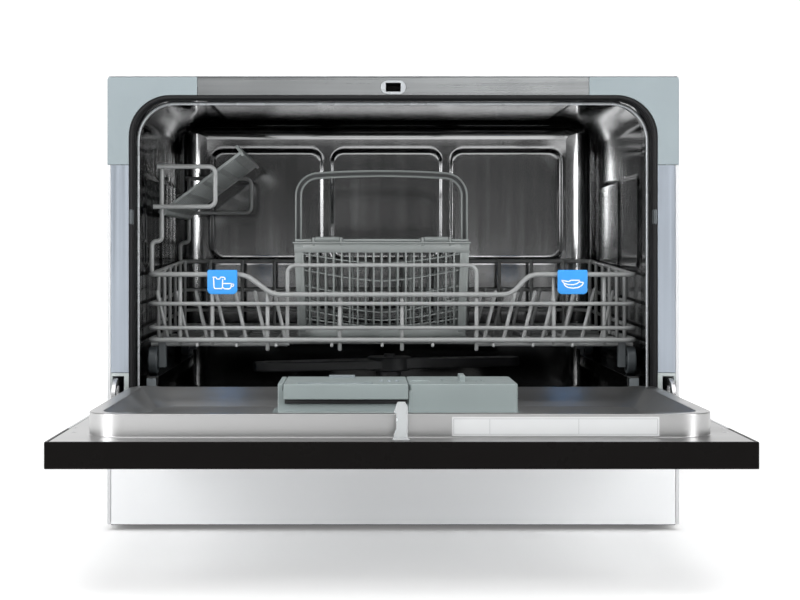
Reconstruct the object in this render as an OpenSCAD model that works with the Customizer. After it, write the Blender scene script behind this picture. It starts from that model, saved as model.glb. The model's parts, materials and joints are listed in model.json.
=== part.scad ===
/* [Cabinet] */
// Overall width
body_w = 550; // [470:1:660]
// Overall height on the feet
body_h = 438; // [400:1:526]
// Depth from the front frame to the rear panel
body_d = 479; // [450:1:575]
// Height of the feet
foot_h = 5; // [4:0.5:8]
// Thickness of the painted sheet
sheet = 1.2; // [1:0.1:1.5]
// Frame width beside the tub opening
frame_side = 20.5; // [19:0.5:25]
// Frame height above the tub opening
frame_top = 19; // [18:0.5:23]
// Corner radius of the tub opening
open_r = 40; // [30:1:48]

/* [Tub] */
// Thickness of the tub's steel
tub_t = 1; // [0.8:0.1:1.2]
// Space behind the tub's back wall
rear_space = 79; // [65:1:95]
// Depth of the door gasket
gasket_d = 23.4; // [20:0.5:28]
// Thickness of the door gasket
gasket_t = 4; // [4:0.5:6.5]
// Radius of the tub's upright rear corners
tub_corner_r = 35; // [25:1:42]
// Height of the pressed panels in the tub walls
emboss = 2; // [1:0.25:2.5]

/* [Door] */
// Height of the hinge axis over the floor
pivot_z = 122; // [115:1:130]
// Thickness of the door's outer part
door_t = 21; // [18:0.5:25]
// Height of the inner pan's side rims over the flange
pan_h = 18.5; // [17:0.5:24]
// Height of the control panel
control_h = 98; // [80:1:115]
// Diameter of the hinge pins
hinge_pin_d = 6; // [5:0.5:7]
// Height of the door hook
hook_h = 30; // [25:0.5:32]

/* [Dispenser] */
// Width of the dispenser
disp_w = 204; // [170:1:240]
// Depth of the dispenser along the door
disp_d = 86; // [72:1:100]
// Height of the dispenser's top over the flange
disp_h = 34; // [30:0.5:36]

/* [Rack] */
// Diameter of the rack's rim wires
rim_d = 5; // [4:0.25:6]
// Diameter of the rack's other wires
wire_d = 4; // [3:0.25:4.75]
// Diameter of the rack's wheels
wheel_d = 27; // [23:0.5:32]
// Width of the rack's wheels
wheel_w = 9; // [7:0.5:11]
// Height of the rack's front wires over its floor
rack_h = 65; // [58:1:78]
// Depth of the dip in the rack's front wire
dip_h = 20; // [12:1:24]
// Number of tines in one row
tine_count = 7; // [5:1:9]
// Space between two tines
tine_pitch = 19.5; // [17:0.5:23]

/* [Basket] */
// Width of the cutlery basket
basket_w = 177; // [148:1:210]
// Depth of the cutlery basket
basket_d = 74; // [62:1:88]
// Height of the cutlery basket
basket_h = 96; // [80:1:100]
// Height of the handle over the basket's rim
handle_h = 74; // [65:1:80]
// Space between two bars of the basket
bar_pitch = 8; // [7:0.25:9.5]

/* [Cup shelf] */
// Width of the cup shelf
shelf_w = 100; // [84:1:112]
// Tilt of the cup shelf as it stands
shelf_tilt = 37; // [30:1:44]

/* [Hidden] */
$fn = 48;

// Small clearances: seated pieces, turning pins and panel seams
seat = 0.3;
pin_gap = 0.05;
seam = 0.4;

// Front frame, measured from the plane that the closed door meets
half_w = body_w / 2;
hem_gap = 2.2;
frame_y = 0.6;
frame_t = 1.5;
frame_back = frame_y + frame_t;
post_out = half_w - 3.5;
door_reach = body_h - 2 - pivot_z;
stub_out = 13;
front_y = (door_reach - body_d - stub_out) / 2;
open_x = half_w - frame_side;
open_top = body_h - frame_top;
open_bottom = pivot_z + 3;
low_r = 8;
corner_arm = 86.5;
corner_drop = 86;
cover_top = pivot_z + 29.6;
plinth_top = pivot_z - 5.5;

// Tub
tub_x = open_x - 7.5;
tub_top = open_top + 5;
tub_floor = pivot_z - 18;
tub_back = body_d - rear_space;
neck_y = frame_back + gasket_d + 0.5;
neck_top = open_top + 1.5;
neck_end = neck_y + 22;
rail_top = pivot_z + 24.2;
rail_front = neck_y + 1;

// Wheels and rack
wheel_r = wheel_d / 2;
wheel_x = tub_x - 9;
wheel_z = rail_top + seat + wheel_r;
rack_x = tub_x - 4 - rim_d / 2;
rack_z = wheel_z + wheel_r + rim_d / 2 + wire_d + 0.8;
rack_front_y = neck_y + 21.5;
rack_rear_y = tub_back - 22;
rack_bend = 22;
rack_top = rack_z + rack_h;
rear_rise = 11;
low_wire_z = rack_z - rim_d / 2 - wire_d / 2 - 0.1;
long_wire_z = low_wire_z + wire_d - 0.2;
row_wire_z = low_wire_z - 0.3;
front_row_y = rack_front_y + 14;
rear_row_y = rack_rear_y - 18;
cross_front_y = front_row_y + 34;
cross_step = (rear_row_y - cross_front_y) / 4;
second_row_y = cross_front_y + 1.38 * cross_step;

// Cutlery basket
basket_x = -10;
basket_y = front_row_y + 14;
basket_z = long_wire_z + wire_d / 2 + seat;
basket_top = basket_z + basket_h;
basket_wall = 2;
basket_floor_t = 2.5;
handle_t = 6;
basket_draft = 4;
lid_t = 2.5;
lid_pin_r = 1.2;
lid_barrel_r = 2.3;
lid_axis_z = basket_top + 2.8;
lid_axis_in = 1.5;
lid_hinges = [-55, 55];

// Cup shelf
shelf_x = -(rack_x - 10);
shelf_z = rack_z + 128;
shelf_front_y = front_row_y + 4;
shelf_rear_y = rear_row_y - 36;
shelf_rod_r = 1.8;

// Door
pan_x = open_x - gasket_t - 1;
pan_rear = 8;
pan_far = door_reach - 30;
pan_rim = 11.5;
pan_slope = 18;
pan_floor = 2;
pan_low_rim = 16;
pan_t = 1;
pan_r = 30;
door_back = 3;
side_wall = 2.5;
flange_x = half_w - side_wall - seat;
control_y = door_reach - control_h;
slot_in = open_x + 4.5;
slot_out = half_w - 5;
arm_in = slot_in + 5;
arm_out = slot_out - 1.5;
arc_in = 19.5;
arc_out = 25;
arc_tail = 62;
hook_y = door_reach - 10.2;
latch_z = pivot_z + hook_y + 0.7;
board_z = pivot_z - door_t + 8;
disp_y = pan_far - 142;
lid_x0 = -disp_w / 2 + 5;
lid_x1 = 9;
lid_y = disp_d / 2 - 2;
lid_skin = 5.5;
release_x = -48;
cap_x = 56.7;
cap_r = 17;
panel_t = 2.5;
button_r = 6;
button_x = [155, 190, 225];
button_y = control_y + 42;
button_travel = 1.5;
window_x = [80, 135];

// Ports and the parts under the tub
spray_y = (neck_end + tub_back) / 2 - 10;
tray_t = 3;
tray_z = foot_h + tray_t;
tray_wall = 30;
valve_x = half_w - 80;
spigot_x = half_w - 150;
gland_x = -(half_w - 75);
port_z = 45;
valve_r = 13.2;
spigot_r = 9;
sump_x = [-60, 120];
sump_y = [spray_y - 112, spray_y + 58];
filter_x = 78;
filter_y = spray_y - 58;
filter_r = 30;
salt_x = -145;
salt_y = spray_y - 62;
salt_r = 28;
spring_r = 3.5;
spring_y = 10.4;
spring_foot = 30;

function unit(v) = v / norm(v);
function near(x, y) = min(x, y);

// Everything is measured from the front frame and the floor, and set on the frame's centre here
module place() { translate([0, front_y, 0]) children(); }

// A solid on both sides of the middle plane
module both_sides() { children(); mirror([1, 0, 0]) children(); }

module box(x, y, z) { translate([x[0], y[0], z[0]]) cube([x[1] - x[0], y[1] - y[0], z[1] - z[0]]); }

// A rectangle between corners a and b with rounded corners
module rounded(a, b, r) {
    translate([a[0] + r, a[1]]) square([b[0] - a[0] - 2 * r, b[1] - a[1]]);
    translate([a[0], a[1] + r]) square([b[0] - a[0], b[1] - a[1] - 2 * r]);
    for (x = [a[0] + r, b[0] - r], y = [a[1] + r, b[1] - r]) translate([x, y]) circle(r);
}

// The same with the smaller radius q at its two lower corners
module arched(a, b, r, q) {
    translate([a[0], a[1] + q]) square([b[0] - a[0], b[1] - a[1] - q - r]);
    translate([a[0] + q, a[1]]) square([b[0] - a[0] - 2 * q, q + 1]);
    translate([a[0] + r, b[1] - r - 1]) square([b[0] - a[0] - 2 * r, r + 1]);
    for (x = [a[0] + r, b[0] - r]) translate([x, b[1] - r]) circle(r);
    for (x = [a[0] + q, b[0] - q]) translate([x, a[1] + q]) circle(q);
}

// A flat shape in width and height, extruded along the depth
module along_y(y0, y1) { translate([0, y1, 0]) rotate([90, 0, 0]) linear_extrude(y1 - y0) children(); }

// A flat shape in depth and height, extruded across the width
module along_x(x0, x1) { translate([x0, 0, 0]) rotate([90, 0, 90]) linear_extrude(x1 - x0) children(); }

module rod(a, b, d) {
    v = b - a;
    translate(a) rotate([0, acos(v[2] / norm(v)), atan2(v[1], v[0])]) cylinder(d = d, h = norm(v), $fn = 24);
}

// A round bend of wire at the corner p, between the directions u and w
module bend(p, u, w, r, d) {
    turn = acos(u * w);
    n = unit(w - (u * w) * u);
    c = p - u * r * tan(turn / 2) + n * r;
    z = cross(-n, u);
    multmatrix([for (i = [0:2]) [-n[i], u[i], z[i], c[i]]])
        rotate_extrude(angle = turn, $fn = 36) translate([r, 0]) circle(d = d, $fn = 24);
}

// A wire through the points, bent to the radius r[i] at its inner points
module wire(points, r, d) {
    last = len(points) - 1;
    dir = [for (i = [0:last - 1]) unit(points[i + 1] - points[i])];
    cut = [for (i = [0:last]) i == 0 || i == last ? 0 : r[i - 1] * tan(acos(dir[i - 1] * dir[i]) / 2)];
    for (i = [0:last - 1]) rod(points[i] + dir[i] * cut[i], points[i + 1] - dir[i] * cut[i + 1], d);
    for (i = [1:1:last - 1]) bend(points[i], dir[i - 1], dir[i], r[i - 1], d);
}

// The open ring between two outlines
module ring_of(a, b, r, wall) {
    difference() {
        rounded(a, b, r);
        rounded(a + [wall, wall], b - [wall, wall], r - wall);
    }
}

module top_panel() {
    color("white") place() {
        lip = 12;
        corner = 3;
        box([-half_w + corner, half_w - corner], [frame_y, body_d], [body_h - sheet, body_h]);
        along_y(frame_back + seam, body_d) difference() {
            rounded([-half_w, body_h - 2 * lip], [half_w, body_h], corner);
            rounded([-half_w + sheet, body_h - 3 * lip], [half_w - sheet, body_h - sheet], corner - sheet);
            translate([-half_w - 1, body_h - 2 * lip - 1]) square([body_w + 2, lip + 1]);
        }
    }
}

module side_panel() {
    lip = 12;
    hem = 3.2;
    inner = half_w - sheet;
    box([inner, half_w], [frame_back + seam, body_d - sheet - seam], [foot_h + 1, body_h - lip - seam]);
    box([inner - sheet - seam, inner - seam],
        [frame_back + seam, body_d - sheet - seam], [body_h - 2 * lip, body_h - 6]);
    box([inner - sheet - seam, inner], [frame_back + seam, body_d - sheet - seam],
        [body_h - 2 * lip, body_h - lip - 2 * seam]);
    box([half_w - hem, half_w], [frame_y, frame_back + seam], [foot_h + 1, body_h - corner_drop - seam]);
}

module left_side_panel() { color("white") place() mirror([1, 0, 0]) side_panel(); }

module right_side_panel() { color("white") place() side_panel(); }

module rear_panel() {
    color("gainsboro") place() {
        width = half_w - 2 * sheet - 2 * seam;
        louvre_w = 60;
        louvre_h = 4;
        pitch = 12;
        difference() {
            union() {
                box([-width, width], [body_d - sheet, body_d], [foot_h + 1, body_h - sheet - seam]);
                along_y(body_d - 2 * sheet, body_d)
                    ring_of([-width + 40, 140], [width - 40, body_h - 40], 20, 6);
            }
            for (x = [-150, -50, 50, 150], k = [0:4])
                box([x - louvre_w / 2, x + louvre_w / 2], [body_d - 3 * sheet, body_d + 1],
                    [90 + k * pitch, 90 + k * pitch + louvre_h]);
            translate([valve_x, body_d, port_z]) rotate([90, 0, 0])
                cylinder(r = valve_r + 1.3, h = 10, center = true);
            translate([spigot_x, body_d, port_z]) rotate([90, 0, 0])
                cylinder(r = spigot_r + 1.3, h = 10, center = true);
            box([gland_x - 12, gland_x + 12], [body_d - 5, body_d + 1], [port_z - 9, port_z + 9]);
        }
    }
}

module base_tray() {
    color("dimgray") place() {
        out = half_w - sheet - hem_gap;
        wall = 2.5;
        front = frame_back + seam;
        back = body_d - sheet - seam;
        difference() {
            union() {
                difference() {
                    box([-out, out], [front, back], [foot_h, tray_wall]);
                    box([-out + wall, out - wall], [front + wall, back - wall], [tray_z, tray_wall + 1]);
                }
                both_sides() translate([(slot_in + arm_out + spring_r) / 2 + 1, spring_y, foot_h])
                    cylinder(r = 5, h = spring_foot - foot_h);
                for (x = [-120, 0, 120]) box([x - 1.5, x + 1.5], [front, back], [foot_h, tray_z + 3.5]);
            }
            foot_points() translate([0, 0, -1]) cylinder(r = 4 + pin_gap, h = foot_h + tray_t + 2);
            for (x = [-60, 60], k = [0:6])
                box([x - 35, x + 35], [150 + 20 * k, 156 + 20 * k], [foot_h - 1, tray_z + 0.01]);
            for (x = [valve_x, spigot_x, gland_x]) box([x - 16, x + 16], [back - 4, back + 1], [24, tray_wall + 1]);
        }
    }
}

module foot_points() {
    for (x = [-half_w + 45, half_w - 45], y = [45, body_d - 45]) translate([x, y, 0]) children();
}

module feet() {
    color("dimgray") place() foot_points() {
        cylinder(r = 14, h = foot_h);
        translate([0, 0, foot_h]) cylinder(r = 4, h = tray_t + 1);
    }
}

module plinth_panel() {
    color("white") place() {
        width = half_w - 3.2 - seam;
        box([-width, width], [frame_y, frame_back], [foot_h + 1, plinth_top]);
    }
}

module front_top_rail() {
    color("lightgray") place() {
        reach = half_w - corner_arm - seam;
        top = body_h - sheet - 2 * seam;
        difference() {
            union() {
                box([-reach, reach], [frame_y, frame_back], [open_top, top]);
                box([-reach, reach], [frame_back, 20], [top - sheet, top]);
            }
            bezel_outline(0.3);
        }
    }
}

// The round-ended outline of the latch bezel, grown by g
module bezel_outline(g) {
    half = 12.25 + g;
    low = latch_z - 6.75 - g;
    high = latch_z + 6.75 + g;
    along_y(-1, frame_back + 1) rounded([-half, low], [half, high], (high - low) / 2 - 0.01);
}

module frame_corners() {
    color("slategray") place() both_sides() along_y(frame_y, frame_back) difference() {
        intersection() {
            translate([half_w - corner_arm, body_h - corner_drop]) square([corner_arm, corner_drop]);
            rounded([-half_w, 0], [half_w, body_h - sheet - seam], 3);
        }
        rounded([-open_x, open_bottom], [open_x, open_top], open_r);
        translate([half_w - corner_arm - 1, body_h - corner_drop - 1])
            square([corner_arm - frame_side - open_r + 1, corner_drop - frame_top + 1]);
    }
}

module side_posts() {
    color("silver") place() both_sides() {
        top = body_h - corner_drop - seam;
        box([open_x, post_out], [frame_y, frame_back], [cover_top + seam, top]);
        box([post_out - sheet, post_out], [frame_back, 12], [cover_top + seam, top]);
    }
}

module hinge_covers() {
    color("gainsboro") place() both_sides() {
        difference() {
            box([open_x, post_out], [frame_y, frame_back], [plinth_top + seam, cover_top]);
            box([slot_in, slot_out], [0, 15], [plinth_top - 1, pivot_z + 26.5]);
        }
        box([slot_out, post_out], [frame_y, 14], [plinth_top + seam, cover_top]);
    }
}

// The space inside the tub, grown by g, from the front plane y0
module tub_space(g, y0) {
    along_y(y0, neck_y + g)
        arched([-open_x - g, open_bottom - g], [open_x + g, open_top + g], open_r + g, low_r + g);
    along_y(neck_y - g, neck_end + 1)
        arched([-tub_x - g, open_bottom - g], [tub_x + g, neck_top + g], open_r - 4 + g, low_r + g);
    intersection() {
        along_y(neck_end - g, tub_back + g)
            rounded([-tub_x - g, tub_floor - g], [tub_x + g, tub_top + g], open_r - 6 + g);
        translate([0, 0, tub_floor - 10]) linear_extrude(body_h)
            rounded([-tub_x - g, -80], [tub_x + g, tub_back + g], tub_corner_r + g);
    }
}

module tub_pads() {
    top = tub_top - 37;
    low = rack_top + 16;
    middle = tub_x * 0.253;
    inner = tub_x * 0.328;
    outer = tub_x * 0.84;
    pad = tub_back - emboss;
    along_y(pad, tub_back + tub_t / 2) rounded([-middle, low], [middle, top], 10);
    both_sides() along_y(pad, tub_back + tub_t / 2) rounded([inner, low], [outer, top], 10);
    side_low = rack_top + 9;
    side_top = tub_top - 83;
    panels = [[neck_end + 12, 155], [183, tub_back - 88]];
    both_sides() for (p = panels)
        along_x(tub_x - emboss, tub_x + tub_t / 2) rounded([p[0], side_low], [p[1], side_top], 8);
}

module tub() {
    color("silver") place() {
        lip = 8;
        apron = 12;
        difference() {
            union() {
                tub_space(tub_t, frame_back);
                along_y(frame_back, frame_back + tub_t)
                    arched([-open_x - lip, open_bottom - tub_t], [open_x + lip, open_top + lip], open_r + lip, 1);
                box([-open_x + 10, open_x - 10], [frame_back, frame_back + tub_t],
                    [open_bottom - apron, open_bottom]);
            }
            tub_space(0, 0);
            sump_outline(0.4, tub_floor - 5, tub_floor + 1);
            translate([salt_x, salt_y, tub_floor - 5]) cylinder(r = salt_r + 0.4, h = 6);
            latch_clear();
            both_sides() box([slot_in - 1, half_w], [0, frame_back + tub_t + 1], [0, cover_top + 1]);
        }
        tub_pads();
    }
}

// Room over the tub's front for the latch housing
module latch_clear() {
    box([-17, 17], [0, neck_end - 1], [neck_top + tub_t + 0.2, body_h]);
}

// The cut-out in the tub's floor over the sump, grown by g
module sump_outline(g, z0, z1) {
    translate([0, 0, z0]) linear_extrude(z1 - z0)
        rounded([sump_x[0] - g, sump_y[0] - g], [sump_x[1] + g, sump_y[1] + g], 20);
}

module gasket_step(y0, y1, t) {
    along_y(y0, y1) difference() {
        arched([-open_x, open_bottom], [open_x, open_top], open_r, low_r);
        arched([-open_x + t, open_bottom + near(t, 4)], [open_x - t, open_top - t], open_r - t, 2);
    }
}

module door_gasket() {
    color("black") place() {
        end = frame_back + gasket_d;
        gasket_step(frame_back, frame_back + 5, gasket_t - 1);
        gasket_step(frame_back + 5, frame_back + 8, gasket_t - 2.5);
        gasket_step(frame_back + 8, end, gasket_t);
    }
}

module latch_bezel() {
    color("silver") place() difference() {
        intersection() {
            bezel_outline(0);
            box([-20, 20], [frame_y, frame_back], [0, body_h]);
        }
        box([-7.2, 7.2], [0, 4], [latch_z - 4.3, latch_z + 4.3]);
    }
}

module door_latch() {
    color("dimgray") place() difference() {
        box([-15, 15], [frame_back + 0.4, neck_end - 2], [neck_top + tub_t + 0.4, body_h - sheet - seam - 0.8]);
        box([-8.2, 8.2], [0, frame_back + hook_h + 4], [latch_z - 4.6, latch_z + 4.6]);
        box([-12, 12], [22, frame_back + hook_h + 4], [latch_z - 4.6, latch_z + 4.6]);
        box([-20, 20], [frame_y, 21], [body_h - 2 * sheet - 4 * seam, body_h]);
    }
}

module rack_rails() {
    color("silver") place() both_sides() {
        end = tub_back - 22;
        box([wheel_x - 9, tub_x], [rail_front + 21.5, tub_back - tub_corner_r], [rail_top - 1.5, rail_top]);
        box([wheel_x - 9, wheel_x + 3], [rail_front, end], [rail_top - 1.5, rail_top]);
        box([wheel_x - 9, wheel_x - 7.5], [rail_front, end], [rail_top - 12, rail_top]);
    }
}

module rail_stops() {
    color("gray") place() both_sides() {
        back = tub_back - 22;
        box([wheel_x - 6.5, wheel_x + 3], [rail_front + 0.3, rail_front + 12], [rail_top - 12, rail_top - 1.6]);
        box([wheel_x - 6.5, wheel_x - 0.5], [back - 10, back + 0.3], [rail_top - 12, rail_top - 1.6]);
        box([wheel_x - 6.5, wheel_x - 0.5], [back + 0.3, back + 5], [rail_top - 12, rail_top + 8]);
    }
}

module sump() {
    color("dimgray") place() {
        floor_z = tub_floor - tub_t;
        bowl_z = 50;
        wall = 2.5;
        tower_r = 13;
        difference() {
            union() {
                translate([0, 0, floor_z - 3]) linear_extrude(3)
                    rounded([sump_x[0] - 9, sump_y[0] - 9], [sump_x[1] + 9, sump_y[1] + 9], 24);
                translate([0, 0, bowl_z]) linear_extrude(floor_z - bowl_z)
                    rounded([sump_x[0] + 4, sump_y[0] + 4], [sump_x[1] - 4, sump_y[1] - 4], 18);
            }
            translate([0, 0, bowl_z + wall]) linear_extrude(floor_z)
                rounded([sump_x[0] + 4 + wall, sump_y[0] + 4 + wall],
                    [sump_x[1] - 4 - wall, sump_y[1] - 4 - wall], 15);
        }
        difference() {
            union() {
                translate([0, spray_y, bowl_z + wall + seat]) cylinder(r = tower_r, h = pivot_z + 13 - bowl_z);
                translate([0, spray_y, bowl_z + wall + seat]) cylinder(r = 6, h = pivot_z + 32 - bowl_z);
            }
            translate([0, spray_y, bowl_z + 2 * wall]) cylinder(r = 4, h = body_h);
        }
    }
}

module filter_plate() {
    color("silver") place() difference() {
        sump_plate(1.5);
        translate([0, spray_y, tub_floor - 3]) cylinder(r = 13.5, h = 8);
        translate([filter_x, filter_y, tub_floor - 3]) cylinder(r = filter_r + 0.4, h = 8);
        for (k = [0:4], j = [0:3])
            translate([sump_x[0] + 18 + 15 * j, sump_y[0] + 18 + 15 * k, tub_floor - 1]) cylinder(d = 4, h = 5);
    }
}

module sump_plate(t) {
    translate([0, 0, tub_floor]) linear_extrude(t)
        rounded([sump_x[0] - 6, sump_y[0] - 6], [sump_x[1] + 6, sump_y[1] + 6], 22);
}

module filter_cup() {
    color("slategray") place() translate([filter_x, filter_y, 0]) {
        top = tub_floor + 1.5;
        difference() {
            union() {
                translate([0, 0, top - 40]) cylinder(r = filter_r, h = 40);
                translate([0, 0, top + 0.3]) cylinder(r = filter_r + 4, h = 2);
                translate([0, 0, top - 1]) cylinder(r = filter_r, h = 2);
            }
            translate([0, 0, top - 37]) cylinder(r = filter_r - 2, h = 60);
            for (a = [0:30:330]) rotate([0, 0, a]) box([0, filter_r + 1], [-4, 4], [top - 32, top - 8]);
        }
        box([-filter_r + 1, filter_r - 1], [-2, 2], [top - 4, top + 14]);
    }
}

module salt_cap() {
    color("gray") place() translate([salt_x, salt_y, 0]) {
        translate([0, 0, tub_floor + 2.3]) cylinder(r = salt_r + 2, h = 8);
        translate([0, 0, tub_floor - 10]) cylinder(r = salt_r - 5, h = 14);
        box([-salt_r + 2, salt_r - 2], [-3, 3], [tub_floor + 9, tub_floor + 16]);
    }
}

module softener_tank() {
    color("white") place() {
        top = tub_floor - tub_t;
        difference() {
            union() {
                box([salt_x - 60, salt_x + 60], [salt_y - 75, salt_y + 75], [tray_z + 3.5, top]);
                translate([salt_x, salt_y, top - 1]) cylinder(r = salt_r, h = tub_t + 3);
            }
            box([salt_x - 57, salt_x + 57], [salt_y - 72, salt_y + 72], [tray_z + 6.5, top - 4]);
            translate([salt_x, salt_y, top - 10]) cylinder(r = salt_r - 4.9, h = 20);
        }
    }
}

module wash_pump() {
    color("dimgray") place() {
        y = spray_y + 115;
        box([-110, -75], [y - 18, y + 18], [tray_z, tray_z + 20]);
        translate([0, y, tray_z + 41.5]) rotate([0, 90, 0]) {
            translate([0, 0, -160]) cylinder(r = 34, h = 95);
            translate([0, 0, -65]) cylinder(r = 38, h = 24);
            translate([0, 0, -41]) cylinder(r = 14, h = 20);
        }
    }
}

module drain_pump() {
    color("dimgray") place() {
        x = sump_x[1] + 40;
        translate([x, spray_y, tray_z + 22]) rotate([0, 90, 0]) {
            cylinder(r = 22, h = 50);
            translate([0, 0, -18]) cylinder(r = 18, h = 18);
        }
        translate([x - 9, spray_y, tray_z + 22]) cylinder(r = 7, h = 40);
    }
}

module inlet_valve() {
    color("white") place() translate([valve_x, body_d, port_z]) {
        translate([0, -50, 0]) rotate([-90, 0, 0]) difference() {
            union() {
                cylinder(r = valve_r, h = 50 + stub_out);
                translate([0, 0, 20]) cylinder(r = 20, h = 24);
            }
            translate([0, 0, 12]) cylinder(r = 9, h = 80);
        }
        box([-22, 22], [-50, -26], [tray_z - port_z, 30]);
    }
}

module drain_spigot() {
    color("gray") place() translate([spigot_x, body_d, port_z]) {
        rotate([90, 0, 0]) difference() {
            union() {
                translate([0, 0, -stub_out]) cylinder(r = spigot_r, h = stub_out + 3);
                translate([0, 0, 3]) cylinder(r = spigot_r + 1.5, h = 34);
                translate([0, 0, 2]) cylinder(r = 15, h = 10);
            }
            translate([0, 0, -stub_out - 1]) cylinder(r = spigot_r - 2.5, h = 60);
        }
        box([-12, 12], [-12, -6], [tray_z + 3.5 - port_z, -10]);
    }
}

module cord_gland() {
    color("black") place() difference() {
        union() {
            box([gland_x - 11.5, gland_x + 11.5], [body_d - 10, body_d + 2], [port_z - 8.5, port_z + 8.5]);
            box([gland_x - 14, gland_x + 14], [body_d + 0.1, body_d + 3], [port_z - 11, port_z + 11]);
        }
        translate([gland_x, body_d, port_z]) rotate([90, 0, 0]) cylinder(r = 4, h = 30, center = true);
    }
}

module spray_arm() {
    color("slategray") place() translate([0, spray_y, 0]) {
        low = pivot_z + 17;
        reach = near(tub_x - 60, (tub_back - neck_y) / 2 - 35);
        difference() {
            union() {
                translate([0, 0, low]) cylinder(r = 24, h = 15);
                for (a = [18, 198]) rotate([0, 0, a]) translate([0, 0, low + 2]) linear_extrude(10)
                    polygon([[0, -20], [0, 20], [reach - 16, 15], [reach, 6], [reach, -6], [reach - 16, -15]]);
            }
            translate([0, 0, low - 1]) cylinder(r = 6 + pin_gap, h = 30);
            for (a = [18, 198], k = [0:4]) rotate([0, 0, a]) translate([40 + k * 24, k % 2 == 0 ? 6 : -6, low + 8])
                cylinder(d = 4.5, h = 20);
        }
    }
}

module hinge_brackets() {
    color("silver") place() both_sides() {
        plate_out = slot_in + 2.8;
        along_x(slot_in + 0.4, plate_out) {
            translate([0, pivot_z]) circle(5);
            polygon([[0, pivot_z + 5], [0, pivot_z - 5], [4, pivot_z - 5], [14, pivot_z - 12],
                [45, pivot_z - 12], [45, pivot_z + 12], [14, pivot_z + 12]]);
        }
        translate([plate_out - 1, 0, pivot_z]) rotate([0, 90, 0])
            cylinder(d = hinge_pin_d, h = slot_out - plate_out);
        box([tub_x + tub_t + 7, plate_out], [30, 45], [pivot_z - 12, pivot_z - 9]);
    }
}

module hinge_springs() {
    color("silver") place() both_sides() {
        x = (slot_in + arm_out + spring_r) / 2 + 1;
        top = pivot_z + arc_in * sin(arc_tail) - seat;
        translate([x, spring_y, spring_foot]) cylinder(r = spring_r, h = top - spring_foot);
    }
}

module door_outer_panel() {
    color("white") place() {
        low = pivot_z - door_t;
        y0 = -control_y + seam;
        box([-half_w, half_w], [y0, -door_back], [low, low + sheet]);
        both_sides() box([half_w - side_wall, half_w], [y0, -door_back], [low, pivot_z]);
        box([-half_w, half_w], [-door_back - sheet, -door_back], [low, plinth_top]);
    }
}

module control_panel() {
    color("black") place() {
        low = pivot_z - door_t;
        pocket_x = 62;
        pocket_y = [door_reach - 52, door_reach - 18];
        pocket_z = 12;
        difference() {
            union() {
                difference() {
                    box([-half_w, half_w], [-door_reach, -control_y], [low, pivot_z]);
                    box([-half_w + side_wall, half_w - side_wall],
                        [-door_reach + side_wall, -control_y + 1], [low + panel_t, pivot_z + 1]);
                }
                box([-pocket_x - 2, pocket_x + 2], [-door_reach + 16, -door_reach + 54], [low, low + pocket_z + 2]);
            }
            box([-pocket_x, pocket_x], [-pocket_y[1], -pocket_y[0]], [low - 1, low + pocket_z]);
            for (x = button_x) translate([x, -button_y, low - 1]) cylinder(r = button_r + 0.3, h = panel_t + 2);
            box([window_x[0] - 0.2, window_x[1] + 0.2], [-button_y - 11.2, -button_y + 11.2], [low - 1, low + 1.2]);
        }
        for (x = [75, 240], y = [-button_y - 22, -button_y + 22])
            translate([x, y, low + panel_t - 0.5]) cylinder(r = 3, h = board_z - low - panel_t + 0.5);
    }
}

module display_window() {
    low = pivot_z - door_t;
    color([0.03, 0.03, 0.04]) place()
        box(window_x, [-button_y - 11, -button_y + 11], [low + 0.05, low + 1.2]);
}

module panel_button(x) {
    low = pivot_z - door_t;
    translate([x, -button_y, 0]) {
        translate([0, 0, low - 0.8]) cylinder(r = button_r, h = panel_t + 0.8);
        translate([0, 0, low + panel_t]) cylinder(r = 2.5, h = board_z - low - panel_t - button_travel - 0.3);
        translate([0, 0, low + panel_t + 0.2]) cylinder(r = button_r + 1.5, h = 1.2);
        translate([0, 0, low + panel_t]) cylinder(r = button_r, h = 0.3);
    }
}

module power_button() { color("silver") place() panel_button(button_x[2]); }

module programme_button() { color("silver") place() panel_button(button_x[0]); }

module start_button() { color("silver") place() panel_button(button_x[1]); }

module control_board() {
    color("darkgreen") place() {
        face = board_z + 1.6;
        box([70, 245], [-button_y - 27, -button_y + 27], [board_z, face]);
        for (x = [85, 120, 172, 208]) box([x - 7, x + 7], [-button_y - 8, -button_y + 8], [face, face + 5.4]);
    }
}

// The raised outline of the inner pan, moved in by g, from z0 to z1
module pan_block(g, z0, z1) {
    translate([0, 0, z0]) linear_extrude(z1 - z0)
        rounded([-pan_x + g, -pan_far + g], [pan_x - g, -pan_rear - g], pan_r - g);
}

// The recess of the inner pan, grown by g and lowered by g
module pan_recess(g) {
    x = pan_x - pan_rim + g;
    top_r = pan_r - pan_rim + g;
    far = -pan_far + pan_rim - g;
    rear = -pan_rear - 6 + g;
    floor_z = pivot_z + pan_floor - g;
    hull() {
        translate([0, 0, pivot_z + pan_h - g]) linear_extrude(0.5, $fn = 32)
            rounded([-x, far], [x, rear], top_r);
        translate([0, 0, floor_z]) linear_extrude(0.5, $fn = 32)
            rounded([-x + pan_slope, far + pan_slope], [x - pan_slope, rear - 34], top_r);
    }
}

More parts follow.
